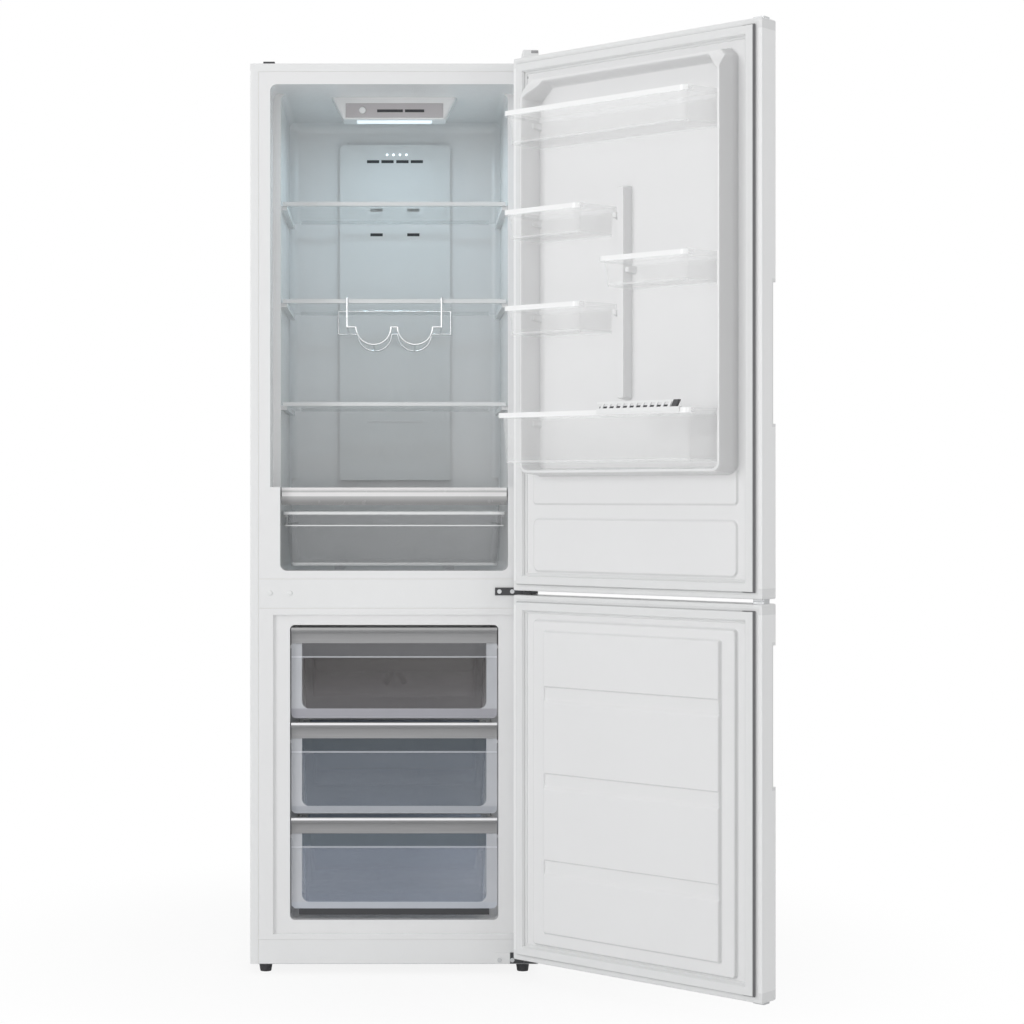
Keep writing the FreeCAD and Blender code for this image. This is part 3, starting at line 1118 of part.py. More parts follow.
def make_comb():
    """A slatted rail that grips the front rim of the bottle bin."""
    _, ends, _, rim, reach, skew = bin_list()[-1]
    far_y = door_inside + reach
    start = ends[0] + skew + S.bin_corner + S.comb_inset
    x = (start, start + S.comb_length)
    gap = S.seam
    clip = extruded([
        (far_y + gap, rim - S.bin_rim + S.comb_wall),
        (far_y + gap + S.comb_wall, rim - S.bin_rim + S.comb_wall),
        (far_y + gap + S.comb_wall, rim + gap + S.comb_wall),
        (far_y - S.bin_lip - gap - S.comb_wall, rim + gap + S.comb_wall),
        (far_y - S.bin_lip - gap - S.comb_wall, rim - S.bin_rim / 2),
        (far_y - S.bin_lip - gap, rim - S.bin_rim / 2),
        (far_y - S.bin_lip - gap, rim + gap), (far_y + gap, rim + gap)], x)
    rail_z = (rim + S.comb_height - S.comb_wall * 2, rim + S.comb_height)
    slat_y = (far_y - S.bin_lip, far_y)
    rail = box(x, slat_y, rail_z)
    room = value_of(S.comb_length) - value_of(S.comb_slant) - value_of(S.comb_slat)
    slat_count = int(room / value_of(S.comb_step)) + 1

    def leaning(at, width, y):
        """A slat that leans towards the free end as it rises."""
        foot = (at + S.comb_slant, at + S.comb_slant + width)
        head = (at, at + width)
        return prism(rectangle(foot, y), rectangle(head, y), rim + gap, rail_z[1], S.comb_corner)

    slats = [leaning(start + S.comb_step * index, S.comb_slat, slat_y) for index in range(1, slat_count)]
    grip = leaning(start, S.comb_grip, (slat_y[0] - S.comb_wall, slat_y[1] + S.comb_wall))
    door_piece("bottle_comb", fuse(clip, rail, grip, *slats))


make_case()
make_base()
make_insulation(*make_liners())
make_hinges()
make_fridge_fittings()
make_shelves()
make_rack()
make_crisper()
make_freezer_drawers()
make_cooling()
make_machine_space()
make_door_body("upper", S.upper_door_low, upper_door_top, S.upper_grip_low)
make_door_body("lower", S.lower_door_low, S.lower_door_top, S.lower_grip_low)
make_upper_liner()
make_lower_liner()
make_bins()
make_comb()
doc.recompute()

failed = [item.Name for item in doc.Objects if "Invalid" in item.State or "Error" in item.State]
if failed:
    raise RuntimeError(f"these did not build: {failed}")
for name, feature in pieces.items():
    if feature.Shape.isNull() or not feature.Shape.isValid() or feature.Shape.Volume <= 0:
        raise RuntimeError(f"{name} has no valid shape")

os.makedirs("parts", exist_ok=True)
for name, feature in pieces.items():
    feature.Shape.exportStep(os.path.join("parts", f"{name}.step"))
print(f"{len(pieces)} pieces written")
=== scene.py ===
import json
import math

import bpy
import numpy as np
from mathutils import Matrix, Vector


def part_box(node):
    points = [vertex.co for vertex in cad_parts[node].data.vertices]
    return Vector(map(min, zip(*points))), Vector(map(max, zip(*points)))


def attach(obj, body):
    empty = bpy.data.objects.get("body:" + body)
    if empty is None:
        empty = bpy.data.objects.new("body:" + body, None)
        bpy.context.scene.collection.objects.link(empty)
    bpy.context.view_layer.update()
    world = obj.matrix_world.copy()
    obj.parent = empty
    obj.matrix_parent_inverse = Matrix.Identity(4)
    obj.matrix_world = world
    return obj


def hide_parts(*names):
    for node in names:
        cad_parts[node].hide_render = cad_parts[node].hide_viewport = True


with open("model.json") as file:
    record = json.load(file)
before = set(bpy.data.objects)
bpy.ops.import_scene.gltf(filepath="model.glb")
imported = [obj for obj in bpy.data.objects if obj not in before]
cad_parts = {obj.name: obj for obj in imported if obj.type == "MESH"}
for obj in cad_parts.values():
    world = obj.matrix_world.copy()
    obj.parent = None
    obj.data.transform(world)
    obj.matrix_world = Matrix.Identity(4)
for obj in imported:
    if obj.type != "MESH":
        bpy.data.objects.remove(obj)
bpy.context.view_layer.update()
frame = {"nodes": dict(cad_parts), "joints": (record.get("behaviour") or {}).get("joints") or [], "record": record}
scene = bpy.context.scene
scene.view_settings.view_transform = "Standard"
nodes = frame["nodes"]
slotOf = {part["node"]: part["material_slot"] for part in frame["record"]["subparts"]}
jointOf = {joint["name"]: joint for joint in frame["joints"]}
print("frame loaded:", len(nodes), "nodes")

# The case and the shut doors, in metres: X to the right, Y to the back, Z up
millimetre = 0.001
caseFront = -0.285
caseBack = 0.285
doorInside = -0.297
doorHalf = 0.2975
upperSpan = (0.794, 1.878)
lowerSpan = (0.042, 0.785)

# The open door: points are drawn on the shut door and turned about its hinge
doorHinge = jointOf["upper_door_hinge"]
doorAngle = math.radians(-doorHinge["range_deg"][0])
hingePlace = np.array(doorHinge["pos_m"])[:2]
doorAcross = (math.cos(doorAngle), math.sin(doorAngle), 0.0)
doorInward = (-math.sin(doorAngle), math.cos(doorAngle), 0.0)
doorTurn = np.array([doorAcross[:2], doorInward[:2]])


def hungPoint(points):
    points = np.asarray(points, float)
    flat = (points[..., :2] - hingePlace) @ doorTurn + hingePlace
    return np.concatenate([flat, points[..., 2:]], -1)


doorMiddle = tuple(hungPoint((0.0, doorInside, 0.0)))


# A socket for shader maths: each operator adds one Math node
class Socket:
    def __init__(self, tree, out):
        self.tree = tree
        self.out = out

    def maths(self, operation, first, second):
        return self.tree.add("ShaderNodeMath", {"operation": operation}, {0: first, 1: second})

    def __add__(self, other):
        return self.maths("ADD", self, other)

    def __radd__(self, other):
        return self.maths("ADD", other, self)

    def __sub__(self, other):
        return self.maths("SUBTRACT", self, other)

    def __rsub__(self, other):
        return self.maths("SUBTRACT", other, self)

    def __mul__(self, other):
        return self.maths("MULTIPLY", self, other)

    def __rmul__(self, other):
        return self.maths("MULTIPLY", other, self)

    def __abs__(self):
        return self.maths("ABSOLUTE", self, 0.0)

    def __pow__(self, other):
        return self.maths("POWER", self, other)

    # the larger of two values
    def __or__(self, other):
        return self.maths("MAXIMUM", self, other)


# The node tree of a material or a world
class Tree:
    def __init__(self, owner):
        owner.use_nodes = True
        self.nodes = owner.node_tree.nodes
        self.links = owner.node_tree.links

    # any node: its settings first, then the values or links of its sockets
    def add(self, kind, settings, inputs, out=0):
        node = self.nodes.new(kind)
        for name, value in settings.items():
            setattr(node, name, value)
        for name, value in inputs.items():
            self.feed(node.inputs[name], value)
        return Socket(self, node.outputs[out])

    def feed(self, socket, value):
        if isinstance(value, Socket):
            self.links.new(value.out, socket)
        else:
            socket.default_value = value


class Paint(Tree):
    def __init__(self, name):
        self.material = bpy.data.materials.new(name)
        super().__init__(self.material)
        self.shader = self.nodes["Principled BSDF"]
        self.position = None

    def set(self, **values):
        for name, value in values.items():
            self.feed(self.shader.inputs[name.replace("_", " ")], value)
        return self

    def place(self):
        if self.position is None:
            self.position = self.add("ShaderNodeTexCoord", {}, {}, "Object")
        return self.position

    def axis(self, name):
        return self.add("ShaderNodeSeparateXYZ", {}, {0: self.place()}, name)

    # how far a point lies along a direction, from a point on it
    def along(self, origin, direction):
        where = self.add("ShaderNodeVectorMath", {"operation": "SUBTRACT"}, {0: self.place(), 1: origin})
        return self.add("ShaderNodeVectorMath", {"operation": "DOT_PRODUCT"},
                        {0: where, 1: direction}, "Value")

    def noise(self, scale, detail=2.0, stretch=None):
        where = self.place()
        if stretch:
            where = self.add("ShaderNodeVectorMath", {"operation": "MULTIPLY"}, {0: where, 1: stretch})
        return self.add("ShaderNodeTexNoise", {}, {"Vector": where, "Scale": scale, "Detail": detail})

    # a value that runs from 0 to 1 between two limits, with soft ends
    def between(self, value, low, high):
        return self.add("ShaderNodeMapRange", {"interpolation_type": "SMOOTHSTEP"},
                        {"Value": value, "From Min": low, "From Max": high})

    # the same between two depths under an edge
    def under(self, value, edge, start, stop):
        return self.between(value, edge - start, edge - stop)

    # and between two heights over an edge
    def over(self, value, edge, start, stop):
        return self.between(value, edge + start, edge + stop)

    # a step from 0 to 1 at an edge
    def step(self, value, edge, soft):
        return self.between(value, edge - soft, edge + soft)

    # 1 inside a span and 0 outside it, with soft ends
    def band(self, value, low, high, soft):
        return self.step(value, low, soft) * (1.0 - self.step(value, high, soft))

    # sockets 6 and 7 are the two colours and output 2 is their mix
    def mix(self, factor, first, second):
        return self.add("ShaderNodeMix", {"data_type": "RGBA"}, {"Factor": factor, 6: first, 7: second}, 2)

    # a colour that drifts over the surface towards a share of itself
    def drift(self, colour, share, scale):
        return self.mix(self.noise(scale), colour, scaled(colour, share))

    def attribute(self, name):
        return self.add("ShaderNodeAttribute", {"attribute_name": name}, {}, "Fac")

    # roughness that wanders upwards from its level
    def gloss(self, level, spread, scale, specular=0.45):
        return self.set(Roughness=level + spread * self.noise(scale), Specular_IOR_Level=specular)

    def bump(self, height, distance):
        return self.set(Normal=self.add("ShaderNodeBump", {}, {"Height": height, "Distance": distance}))

    # the fine grain of a mould or of sprayed paint
    def grained(self, depth=0.00004, scale=1400.0):
        return self.bump(self.noise(scale, 1.0), depth)


def rgb(red, green, blue):
    return (red, green, blue, 1.0)


def scaled(colour, share):
    return tuple(value * share for value in colour[:3]) + (1.0,)


# Colours that more than one finish uses
white = rgb(0.83, 0.835, 0.835)
linerWhite = rgb(0.835, 0.836, 0.838)
# the case white made paler for the doors' skins: painted light on them
litDoorWhite = rgb(0.925, 0.928, 0.928)
silver = rgb(0.30, 0.30, 0.305)
# pale colour of the painted highlight along a satin strip's top
paleHighlight = rgb(0.85, 0.85, 0.86)
hingeDark = rgb(0.055, 0.056, 0.06)

# How far a painted line goes on past the edge it ends at, and the depth of drawn lines
pastEdge = 0.002
lineDepth = 0.00003


# Powder coat: colour that drifts a little, a thin clear coat and a fine orange peel
def powderCoat(name, colour):
    paint = Paint(name)
    paint.set(Base_Color=paint.drift(colour, share=0.975, scale=3.0), Coat_Weight=0.15, Coat_Roughness=0.12)
    return paint.gloss(0.26, spread=0.08, scale=45.0).grained(depth=0.00006, scale=900.0).material


def mouldedPlastic(name, colour, roughness, *grain):
    paint = Paint(name)
    paint.set(Base_Color=paint.drift(colour, share=0.97, scale=4.0))
    return paint.gloss(roughness, spread=0.07, scale=60.0).grained(*grain).material


# Bare metal: drawn lines from noise that is stretched along them
def metalFinish(name, colour, roughness, stretch, lineShare=0.9, lineRoughness=0.1):
    paint = Paint(name)
    lines = paint.noise(scale=260.0, detail=3.0, stretch=stretch)
    paint.set(Base_Color=paint.mix(lines, scaled(colour, lineShare), colour), Metallic=1.0)
    return paint.set(Roughness=roughness + lineRoughness * lines).bump(lines, lineDepth).material


# Satin strip: grey paint over metal, darker upwards, with fine lines along it and a painted highlight along
# its top edge. Spans are depths under its top
stripLook = {"edge": (0.0048, 0.0036), "shade": (0.034, 0.012), "lowerShare": 1.25, "lineShare": 0.9,
             "metal": 0.35, "roughness": 0.34, "lineRoughness": 0.1, "stretch": (0.02, 1.0, 1.0)}


def satinStrip(name, colour, top, highlightColour):
    look = stripLook
    paint = Paint(name)
    lines = paint.noise(scale=300.0, detail=3.0, stretch=look["stretch"])
    height = paint.axis("Z")
    # the band along the top that takes the painted highlight
    edge = paint.under(height, top, *look["edge"])
    body = paint.mix(paint.under(height, top, *look["shade"]), scaled(colour, look["lowerShare"]), colour)
    body = paint.mix(lines, scaled(colour, look["lineShare"]), body)
    paint.set(Base_Color=paint.mix(edge, body, highlightColour))
    paint.set(Metallic=look["metal"], Roughness=look["roughness"] + look["lineRoughness"] * lines)
    return paint.bump(lines, lineDepth).material


# Across the shut door from its middle: negative towards the free edge
def acrossDoor(paint):
    return paint.along(doorMiddle, doorAcross)


# Bins: floor and rim heights, reach in from the door, and the ledges that carry each, across the shut door
freeLedge = (-0.2345, -0.2255)
hingeLedge = (0.2255, 0.2345)
leftSpineLedge = (0.020, 0.0335)
rightSpineLedge = (-0.0095, 0.002)
bins = {
    "top_bin": {"low": 1.683, "rim": 1.748, "reach": 0.117, "ledges": (freeLedge, hingeLedge)},
    "left_upper_bin": {"low": 1.495, "rim": 1.552, "reach": 0.117, "ledges": (hingeLedge, leftSpineLedge)},
    "left_lower_bin": {"low": 1.305, "rim": 1.362, "reach": 0.117, "ledges": (hingeLedge, leftSpineLedge)},
    "right_bin": {"low": 1.387, "rim": 1.444, "reach": 0.117, "ledges": (freeLedge, rightSpineLedge)},
    "bottle_bin": {"low": 1.052, "rim": 1.150, "reach": 0.136, "ledges": (freeLedge, hingeLedge)},
}

# A bin's plastic: clear, with a white band along the front rim and paler lines at its floor and lip, which are
# painted highlights of its lit edges. Spans are depths behind the front and heights over the floor, and the haze
# adds up to its alpha
binLook = {"colour": rgb(0.95, 0.955, 0.955), "lip": 0.0098, "strip": (0.009, 0.006),
           "front": (0.024, 0.018), "floor": (0.003, 0.006), "clear": 0.05, "cloud": 0.03,
           "floorAlpha": 0.16, "lipHighlight": 0.12, "frontHaze": 0.09}


def binPlastic(name, place):
    look = binLook
    paint = Paint(name)
    height = paint.axis("Z")
    depth = paint.along(doorMiddle, doorInward)
    lip = paint.band(height, place["rim"] - look["lip"], place["rim"] + pastEdge, soft=0.0006)
    # the white band along the front rim: a painted highlight
    strip = lip * paint.under(depth, place["reach"], *look["strip"])
    floor = 1.0 - paint.over(height, place["low"], *look["floor"])
    front = paint.under(depth, place["reach"], *look["front"])
    body = look["clear"] + look["cloud"] * paint.noise(scale=35.0)
    # the floor and lip add painted highlights, the front a faint frost
    body = body + look["floorAlpha"] * floor + look["lipHighlight"] * lip + look["frontHaze"] * front
    paint.set(Base_Color=look["colour"], Alpha=strip | body)
    paint.gloss(0.12, spread=0.1, scale=80.0, specular=0.5)
    return paint.bump(paint.noise(scale=30.0), distance=0.0002).material


# How far a point lies outside a window with round lower corners: negative within it
def windowEdge(paint, half, low, corner):
    sideways = (abs(paint.axis("X")) - (half - corner)) | 0.0
    downward = ((low + corner) - paint.axis("Z")) | 0.0
    return (sideways * sideways + downward * downward) ** 0.5 - corner


# Freezer drawers: heights of floor and strip top, the sill's rise, and the tints over and under the ridge, at
# the floor, of the sill and of the strip's edge. The tints are painted shade, the upper drawer's darkest and
# the lower's palest; the one over the ridge is a painted shadow under the handle strip, and the strip's edge
# is a painted highlight
drawers = {
    "upper": {"low": 0.526, "top": 0.714, "rise": 0.020, "overRidgeShadow": rgb(0.15, 0.15, 0.16),
              "underRidge": rgb(0.13, 0.12, 0.12), "floor": rgb(0.20, 0.19, 0.20),
              "sill": rgb(0.41, 0.41, 0.45), "stripHighlight": rgb(0.40, 0.40, 0.40)},
    "middle": {"low": 0.329, "top": 0.517, "rise": 0.015, "overRidgeShadow": rgb(0.09, 0.11, 0.13),
               "underRidge": rgb(0.27, 0.31, 0.37), "floor": rgb(0.28, 0.32, 0.38),
               "sill": rgb(0.45, 0.47, 0.51), "stripHighlight": paleHighlight},
    "lower": {"low": 0.132, "top": 0.320, "rise": 0.0135, "overRidgeShadow": rgb(0.14, 0.17, 0.20),
              "underRidge": rgb(0.40, 0.455, 0.55), "floor": rgb(0.37, 0.42, 0.51),
              "sill": rgb(0.55, 0.58, 0.63), "stripHighlight": paleHighlight},
}

# A freezer drawer's plastic: smoky clear, with a frosted edge round its front's window, a ridge across it and
# a darker band over the ridge, which is a painted shadow under the handle strip, and painted shade in its tints
drawerLook = {"front": (-0.264, -0.262), "windowHalf": 0.191, "windowCorner": 0.016,
              "frost": rgb(0.62, 0.635, 0.67), "ridgeDrop": 0.0595, "ridgeWidth": 0.003,
              "overRidgeShadow": (0.0, 0.0015), "floor": (0.004, 0.11), "back": (0.008, 0.004), "clear": 0.22,
              "cloud": 0.05, "floorAlpha": 0.08, "backHaze": 0.5, "edgeHaze": 0.40, "ridgeHaze": 0.28,
              "sillHaze": 0.1, "shadowHaze": 0.35}


def drawerPlastic(name, drawer, backWall):
    look = drawerLook
    ridgeTop = drawer["top"] - look["ridgeDrop"]
    sillTop = drawer["low"] + drawer["rise"]
    paint = Paint(name)
    height = paint.axis("Z")
    front = 1.0 - paint.between(paint.axis("Y"), *look["front"])
    window = windowEdge(paint, look["windowHalf"], sillTop, look["windowCorner"])
    edge = front * paint.step(window, 0.0, soft=0.001)
    ridge = front * paint.band(height, ridgeTop - look["ridgeWidth"], ridgeTop, soft=0.0006)
    # painted shadow under the handle strip, over the ridge
    overRidgeShadow = front * (1.0 - edge) * paint.over(height, ridgeTop, *look["overRidgeShadow"])
    floor = 1.0 - paint.over(height, drawer["low"], *look["floor"])
    back = paint.under(paint.axis("Y"), backWall, *look["back"])
    sill = front * (1.0 - paint.step(height, sillTop, soft=0.002))
    # painted shade: the drawer's tints over the ridge, under it and at its floor
    shade = paint.mix(overRidgeShadow, paint.mix(floor, drawer["underRidge"], drawer["floor"]), drawer["overRidgeShadow"])
    frost = paint.mix(sill, look["frost"], drawer["sill"])
    paint.set(Base_Color=paint.mix(edge | ridge, shade, frost))
    haze = look["clear"] + look["cloud"] * paint.noise(scale=30.0)
    haze = haze + look["floorAlpha"] * floor + look["backHaze"] * back
    haze = haze + look["edgeHaze"] * edge + look["ridgeHaze"] * ridge
    paint.set(Alpha=haze + look["sillHaze"] * sill + look["shadowHaze"] * overRidgeShadow)
    paint.gloss(0.16, spread=0.1, scale=70.0, specular=0.5)
    return paint.bump(paint.noise(scale=26.0), distance=0.00008).material


# The crisper's plastic: clear grey with a white rim and ridge, and a paler edge round its front
crisperLook = {"low": 0.842, "rim": 0.954, "front": (-0.258, -0.252), "windowHalf": 0.221,
               "windowCorner": 0.016, "sill": 0.006, "rimHeight": 0.006, "ridgeDrop": 0.0275,
               "ridgeWidth": 0.0025, "grey": rgb(0.40, 0.41, 0.42), "white": rgb(0.80, 0.81, 0.81),
               "clear": 0.17, "cloud": 0.05, "lineHaze": 0.55, "edgeHaze": 0.2}


def crisperPlastic(name):
    look = crisperLook
    rim = look["rim"]
    ridgeTop = rim - look["ridgeDrop"]
    paint = Paint(name)
    height = paint.axis("Z")
    front = 1.0 - paint.between(paint.axis("Y"), *look["front"])
    ridge = front * paint.band(height, ridgeTop - look["ridgeWidth"], ridgeTop, soft=0.0006)
    line = paint.band(height, rim - look["rimHeight"], rim + pastEdge, soft=0.0008) | ridge
    window = windowEdge(paint, look["windowHalf"], look["low"] + look["sill"], look["windowCorner"])
    edge = front * paint.step(window, 0.0, soft=0.002)
    paint.set(Base_Color=paint.mix(line | edge, look["grey"], look["white"]))
    haze = look["clear"] + look["cloud"] * paint.noise(scale=30.0)
    paint.set(Alpha=haze + look["lineHaze"] * line + look["edgeHaze"] * edge)
    paint.gloss(0.14, spread=0.1, scale=70.0, specular=0.5)
    return paint.bump(paint.noise(scale=26.0), distance=0.0002).material


# A shelf's trims: white along the front, clear along the back
trimLook = {"colour": rgb(0.72, 0.735, 0.74), "fade": (-0.05, 0.05), "clear": 0.86}


def trimPlastic(name):
    paint = Paint(name)
    back = paint.between(paint.axis("Y"), *trimLook["fade"])
    paint.set(Base_Color=trimLook["colour"], Alpha=1.0 - trimLook["clear"] * back)
    return paint.gloss(0.25, spread=0.08, scale=60.0).grained().material


# The bottle comb: white, with a dark end that leans as its slats do. Its end is a span across the door
combLook = {"rim": bins["bottle_bin"]["rim"], "lean": 0.53, "end": (-0.1862, -0.1856),
            "foot": (0.0015, 0.0025), "white": rgb(0.84, 0.845, 0.845), "dark": rgb(0.06, 0.06, 0.065)}


def combPlastic(name):
    look = combLook
    paint = Paint(name)
    height = paint.axis("Z")
    leaning = acrossDoor(paint) + look["lean"] * (height - look["rim"])
    end = (1.0 - paint.between(leaning, *look["end"])) * paint.over(height, look["rim"], *look["foot"])
    paint.set(Base_Color=paint.mix(end, look["white"], look["dark"]))
    return paint.gloss(0.3, spread=0.08, scale=60.0).grained().material


# The bottom hinge: its plate painted as the case is, its arm dark
armStart = (0.238, 0.240)


def hingePaint(name):
    paint = Paint(name)
    arm = paint.between(paint.axis("X"), *armStart)
    paint.set(Base_Color=paint.mix(arm, white, hingeDark))
    return paint.gloss(0.3, spread=0.08, scale=60.0).grained(depth=0.00005, scale=900.0).material


# The crisper lid's frame: grey, paler upwards, with white strips along its top and middle
lidLook = {"top": 1.004, "topStrip": 0.006, "middleDrop": 0.010, "middleStrip": 0.008,
           "shade": (0.034, 0.012), "lower": rgb(0.22, 0.22, 0.22), "upper": rgb(0.52, 0.52, 0.52),
           "strip": rgb(0.80, 0.79, 0.79)}


def lidPlastic(name):
    look = lidLook
    top = look["top"]
    middle = top - look["middleDrop"]
    paint = Paint(name)
    height = paint.axis("Z")
    topStrip = paint.band(height, top - look["topStrip"], top + pastEdge, soft=0.0006)
    strip = topStrip | paint.band(height, middle - look["middleStrip"], middle, soft=0.0008)
    body = paint.mix(paint.under(height, top, *look["shade"]), look["lower"], look["upper"])
    paint.set(Base_Color=paint.mix(strip, body, look["strip"]))
    return paint.gloss(0.22, spread=0.08, scale=60.0, specular=0.5).grained().material


def sheetGlass(name, tint, alpha, cloud=0.04):
    paint = Paint(name)
    paint.set(Base_Color=tint, Alpha=alpha + cloud * paint.noise(scale=12.0))
    return paint.gloss(0.04, spread=0.03, scale=20.0, specular=0.5).material


# A door liner's plastic: painted shade, greyer on the steep sides that face down or lie by the free edge
def linerPlastic(name, colour, flankShadeShare=0.8):
    paint = Paint(name)
    plain = paint.drift(colour, share=0.97, scale=4.0)
    paint.set(Base_Color=paint.mix(paint.attribute("flankShade"), plain, scaled(colour, flankShadeShare)))
    return paint.gloss(0.2, spread=0.07, scale=60.0).grained().material


# Gasket rubber: white, with painted shade in grey on the outer fold of its bellows, darkest along the free edge
gasketLook = {"freeEdge": (-0.262, -0.256), "elsewhere": 0.3, "white": rgb(0.78, 0.785, 0.785),
              "foldShade": rgb(0.17, 0.17, 0.175)}


def gasketRubber(name):
    look = gasketLook
    paint = Paint(name)
    free = 1.0 - paint.between(acrossDoor(paint), *look["freeEdge"])
    # painted shade on the outer fold, strongest along the free edge
    foldShade = paint.attribute("foldShade") * (look["elsewhere"] + (1.0 - look["elsewhere"]) * free)
    paint.set(Base_Color=paint.mix(foldShade, look["white"], look["foldShade"]))
    return paint.gloss(0.5, spread=0.07, scale=60.0, specular=0.4).grained().material


def glowing(name, colour, strength):
    paint = Paint(name)
    paint.set(Base_Color=colour, Emission_Color=colour, Emission_Strength=strength, Roughness=0.3)
    return paint.material


# A height far over the object, so a strip shows no painted top highlight, and the ways in which drawn lines run
noTop = 9.0
alongHeight = (1.0, 1.0, 0.4)
alongFins = (1.0, 1.0, 0.1)
everyWay = (1.0, 1.0, 1.0)

# One finish for each material slot: its function and what that takes
slotLooks = {
    "case_paint": (powderCoat, white),
    "liner_plastic": (mouldedPlastic, linerWhite, 0.2),
    "white_plastic": (mouldedPlastic, rgb(0.82, 0.825, 0.825), 0.3, 0.00008),
    "zinc_steel": (metalFinish, rgb(0.62, 0.63, 0.64), 0.38, alongHeight),
    "foam": (mouldedPlastic, rgb(0.82, 0.74, 0.5), 0.8, 0.0006, 260.0),
    "dark_plastic": (mouldedPlastic, rgb(0.045, 0.046, 0.05), 0.45),
    "hinge_steel": (mouldedPlastic, hingeDark, 0.35),
    "gasket_rubber": (gasketRubber,),
    "shelf_glass": (sheetGlass, rgb(0.72, 0.80, 0.79), 0.10),
    "clear_plastic": (crisperPlastic,),
    "lens_plastic": (glowing, rgb(0.80, 0.93, 1.0), 1.4),
    "satin_silver": (satinStrip, silver, noTop, paleHighlight),
    "panel_silver": (mouldedPlastic, rgb(0.50, 0.475, 0.485), 0.3),
    "rack_wire": (metalFinish, rgb(0.8, 0.81, 0.82), 0.16, everyWay),
    "fin_aluminium": (metalFinish, rgb(0.75, 0.76, 0.77), 0.35, alongFins),
    "compressor_paint": (mouldedPlastic, rgb(0.02, 0.02, 0.02), 0.35),
    "copper_pipe": (metalFinish, rgb(0.72, 0.38, 0.24), 0.3, everyWay),
    "foot_plastic": (mouldedPlastic, rgb(0.06, 0.06, 0.065), 0.5),
}
finishes = {slot: make(slot, *look) for slot, (make, *look) in slotLooks.items()}

# Nodes with a finish of their own
special = {
    "lamp_lens": glowing("lamp_lens", rgb(0.84, 0.94, 1.0), 0.6),
    "bottom_hinge": hingePaint("bottom_hinge_paint"),
    "crisper_lid_frame": lidPlastic("lid_plastic"),
    "bottle_comb": combPlastic("comb_plastic"),
}
for binName, place in bins.items():
    special[binName] = binPlastic(f"{binName}_plastic", place)
for level, drawer in drawers.items():
    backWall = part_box(f"{level}_freezer_drawer")[1][1]
    special[f"{level}_freezer_drawer"] = drawerPlastic(f"{level}_drawer_plastic", drawer, backWall)
    special[f"{level}_drawer_handle"] = satinStrip(f"{level}_handle_silver", silver, drawer["top"],
                                                   drawer["stripHighlight"])
    special[f"{level}_shelf_trim"] = trimPlastic(f"{level}_trim_plastic")
# door skins in the paler copy of the case white: painted light
for door in ("upper", "lower"):
    special[f"{door}_door_skin"] = powderCoat(f"{door}_door_paint", litDoorWhite)


def wear(shown, material):
    shown.data.materials.clear()
    shown.data.materials.append(material)


# Clear sheets hardly shade what is behind them
clearNodes = ("glass", "_bin", "crisper_drawer", "freezer_drawer")
for nodeName, nodeObject in nodes.items():
    wear(nodeObject, special.get(nodeName) or finishes[slotOf[nodeName]])
    nodeObject.visible_shadow = not nodeName.endswith(clearNodes)
print("finishes set on the frame")


# A grid of points becomes a smooth mesh whose steep edges stay sharp
def surface(name, points, loopRows=False, loopColumns=False, ends=False, sharpDegrees=38):
    rows, columns = points.shape[:2]
    index = np.arange(rows * columns).reshape(rows, columns)
    if loopRows:
        index = np.vstack([index, index[:1]])
    if loopColumns:
        index = np.hstack([index, index[:, :1]])
    corners = [index[:-1, :-1], index[:-1, 1:], index[1:, 1:], index[1:, :-1]]
    faces = np.stack(corners, -1).reshape(-1, 4).tolist()
    if ends:
        faces += [index[0, columns - 1::-1].tolist(), index[-1, :columns].tolist()]
    mesh = bpy.data.meshes.new(name)
    mesh.from_pydata(points.reshape(-1, 3).tolist(), [], faces)
    mesh.shade_smooth()
    mesh.set_sharp_from_angle(angle=math.radians(sharpDegrees))
    shown = bpy.data.objects.new(name, mesh)
    scene.collection.objects.link(shown)
    return shown


# A value for each point of a mesh, which its finish reads
def label(shown, name, values):
    level = shown.data.attributes.new(name, "FLOAT", "POINT")
    level.data.foreach_set("value", values.astype(np.float32).ravel())


# A smooth step from 0 to 1 between two limits
def ramp(value, low, high):
    share = np.clip((value - low) / (high - low), 0.0, 1.0)
    return share * share * (3.0 - 2.0 * share)


# Corner cutting: each corner of an open line becomes two, twice over
def softened(line, near=0.75, far=0.25):
    for _ in range(2):
        first = near * line[:-1] + far * line[1:]
        second = far * line[:-1] + near * line[1:]
        middle = np.stack([first, second], 1).reshape(-1, line.shape[1])
        line = np.concatenate([line[:1], middle, line[-1:]])
    return line


# How far a point lies inside a rectangle with round corners
def depthInside(x, z, spanX, spanZ, corner):
    roundX = np.abs(x - sum(spanX) / 2) - (spanX[1] - spanX[0]) / 2 + corner
    roundZ = np.abs(z - sum(spanZ) / 2) - (spanZ[1] - spanZ[0]) / 2 + corner
    outside = np.hypot(np.maximum(roundX, 0), np.maximum(roundZ, 0))
    return corner - outside - np.minimum(np.maximum(roundX, roundZ), 0)


# How far a point lies under the slant that cuts off the same rectangle's two upper corners
def depthUnderSlant(x, z, spanX, spanZ, slant):
    return ((spanX[1] - spanX[0]) / 2 - np.abs(x - sum(spanX) / 2) + spanZ[1] - z - slant) / math.sqrt(2)


# A raised rectangle: 0 outside it, 1 inside, with a smooth step of the given width at its edge
def raised(x, z, spanX, spanZ, corner, step):
    return ramp(depthInside(x, z, spanX, spanZ, corner), 0.0, step)


# Grid lines: wide steps everywhere, fine steps in the zones given, none closer than about half a fine step
def gridLines(low, high, zones, fine=0.0016, coarse=0.012, closest=0.55):
    steps = [np.arange(low, high, coarse), [high]] + [np.arange(start, stop, fine) for start, stop in zones]
    lines = np.unique(np.concatenate(steps))
    keep = np.concatenate([[True], np.diff(lines) > fine * closest])
    keep[-1] = True
    return lines[keep]


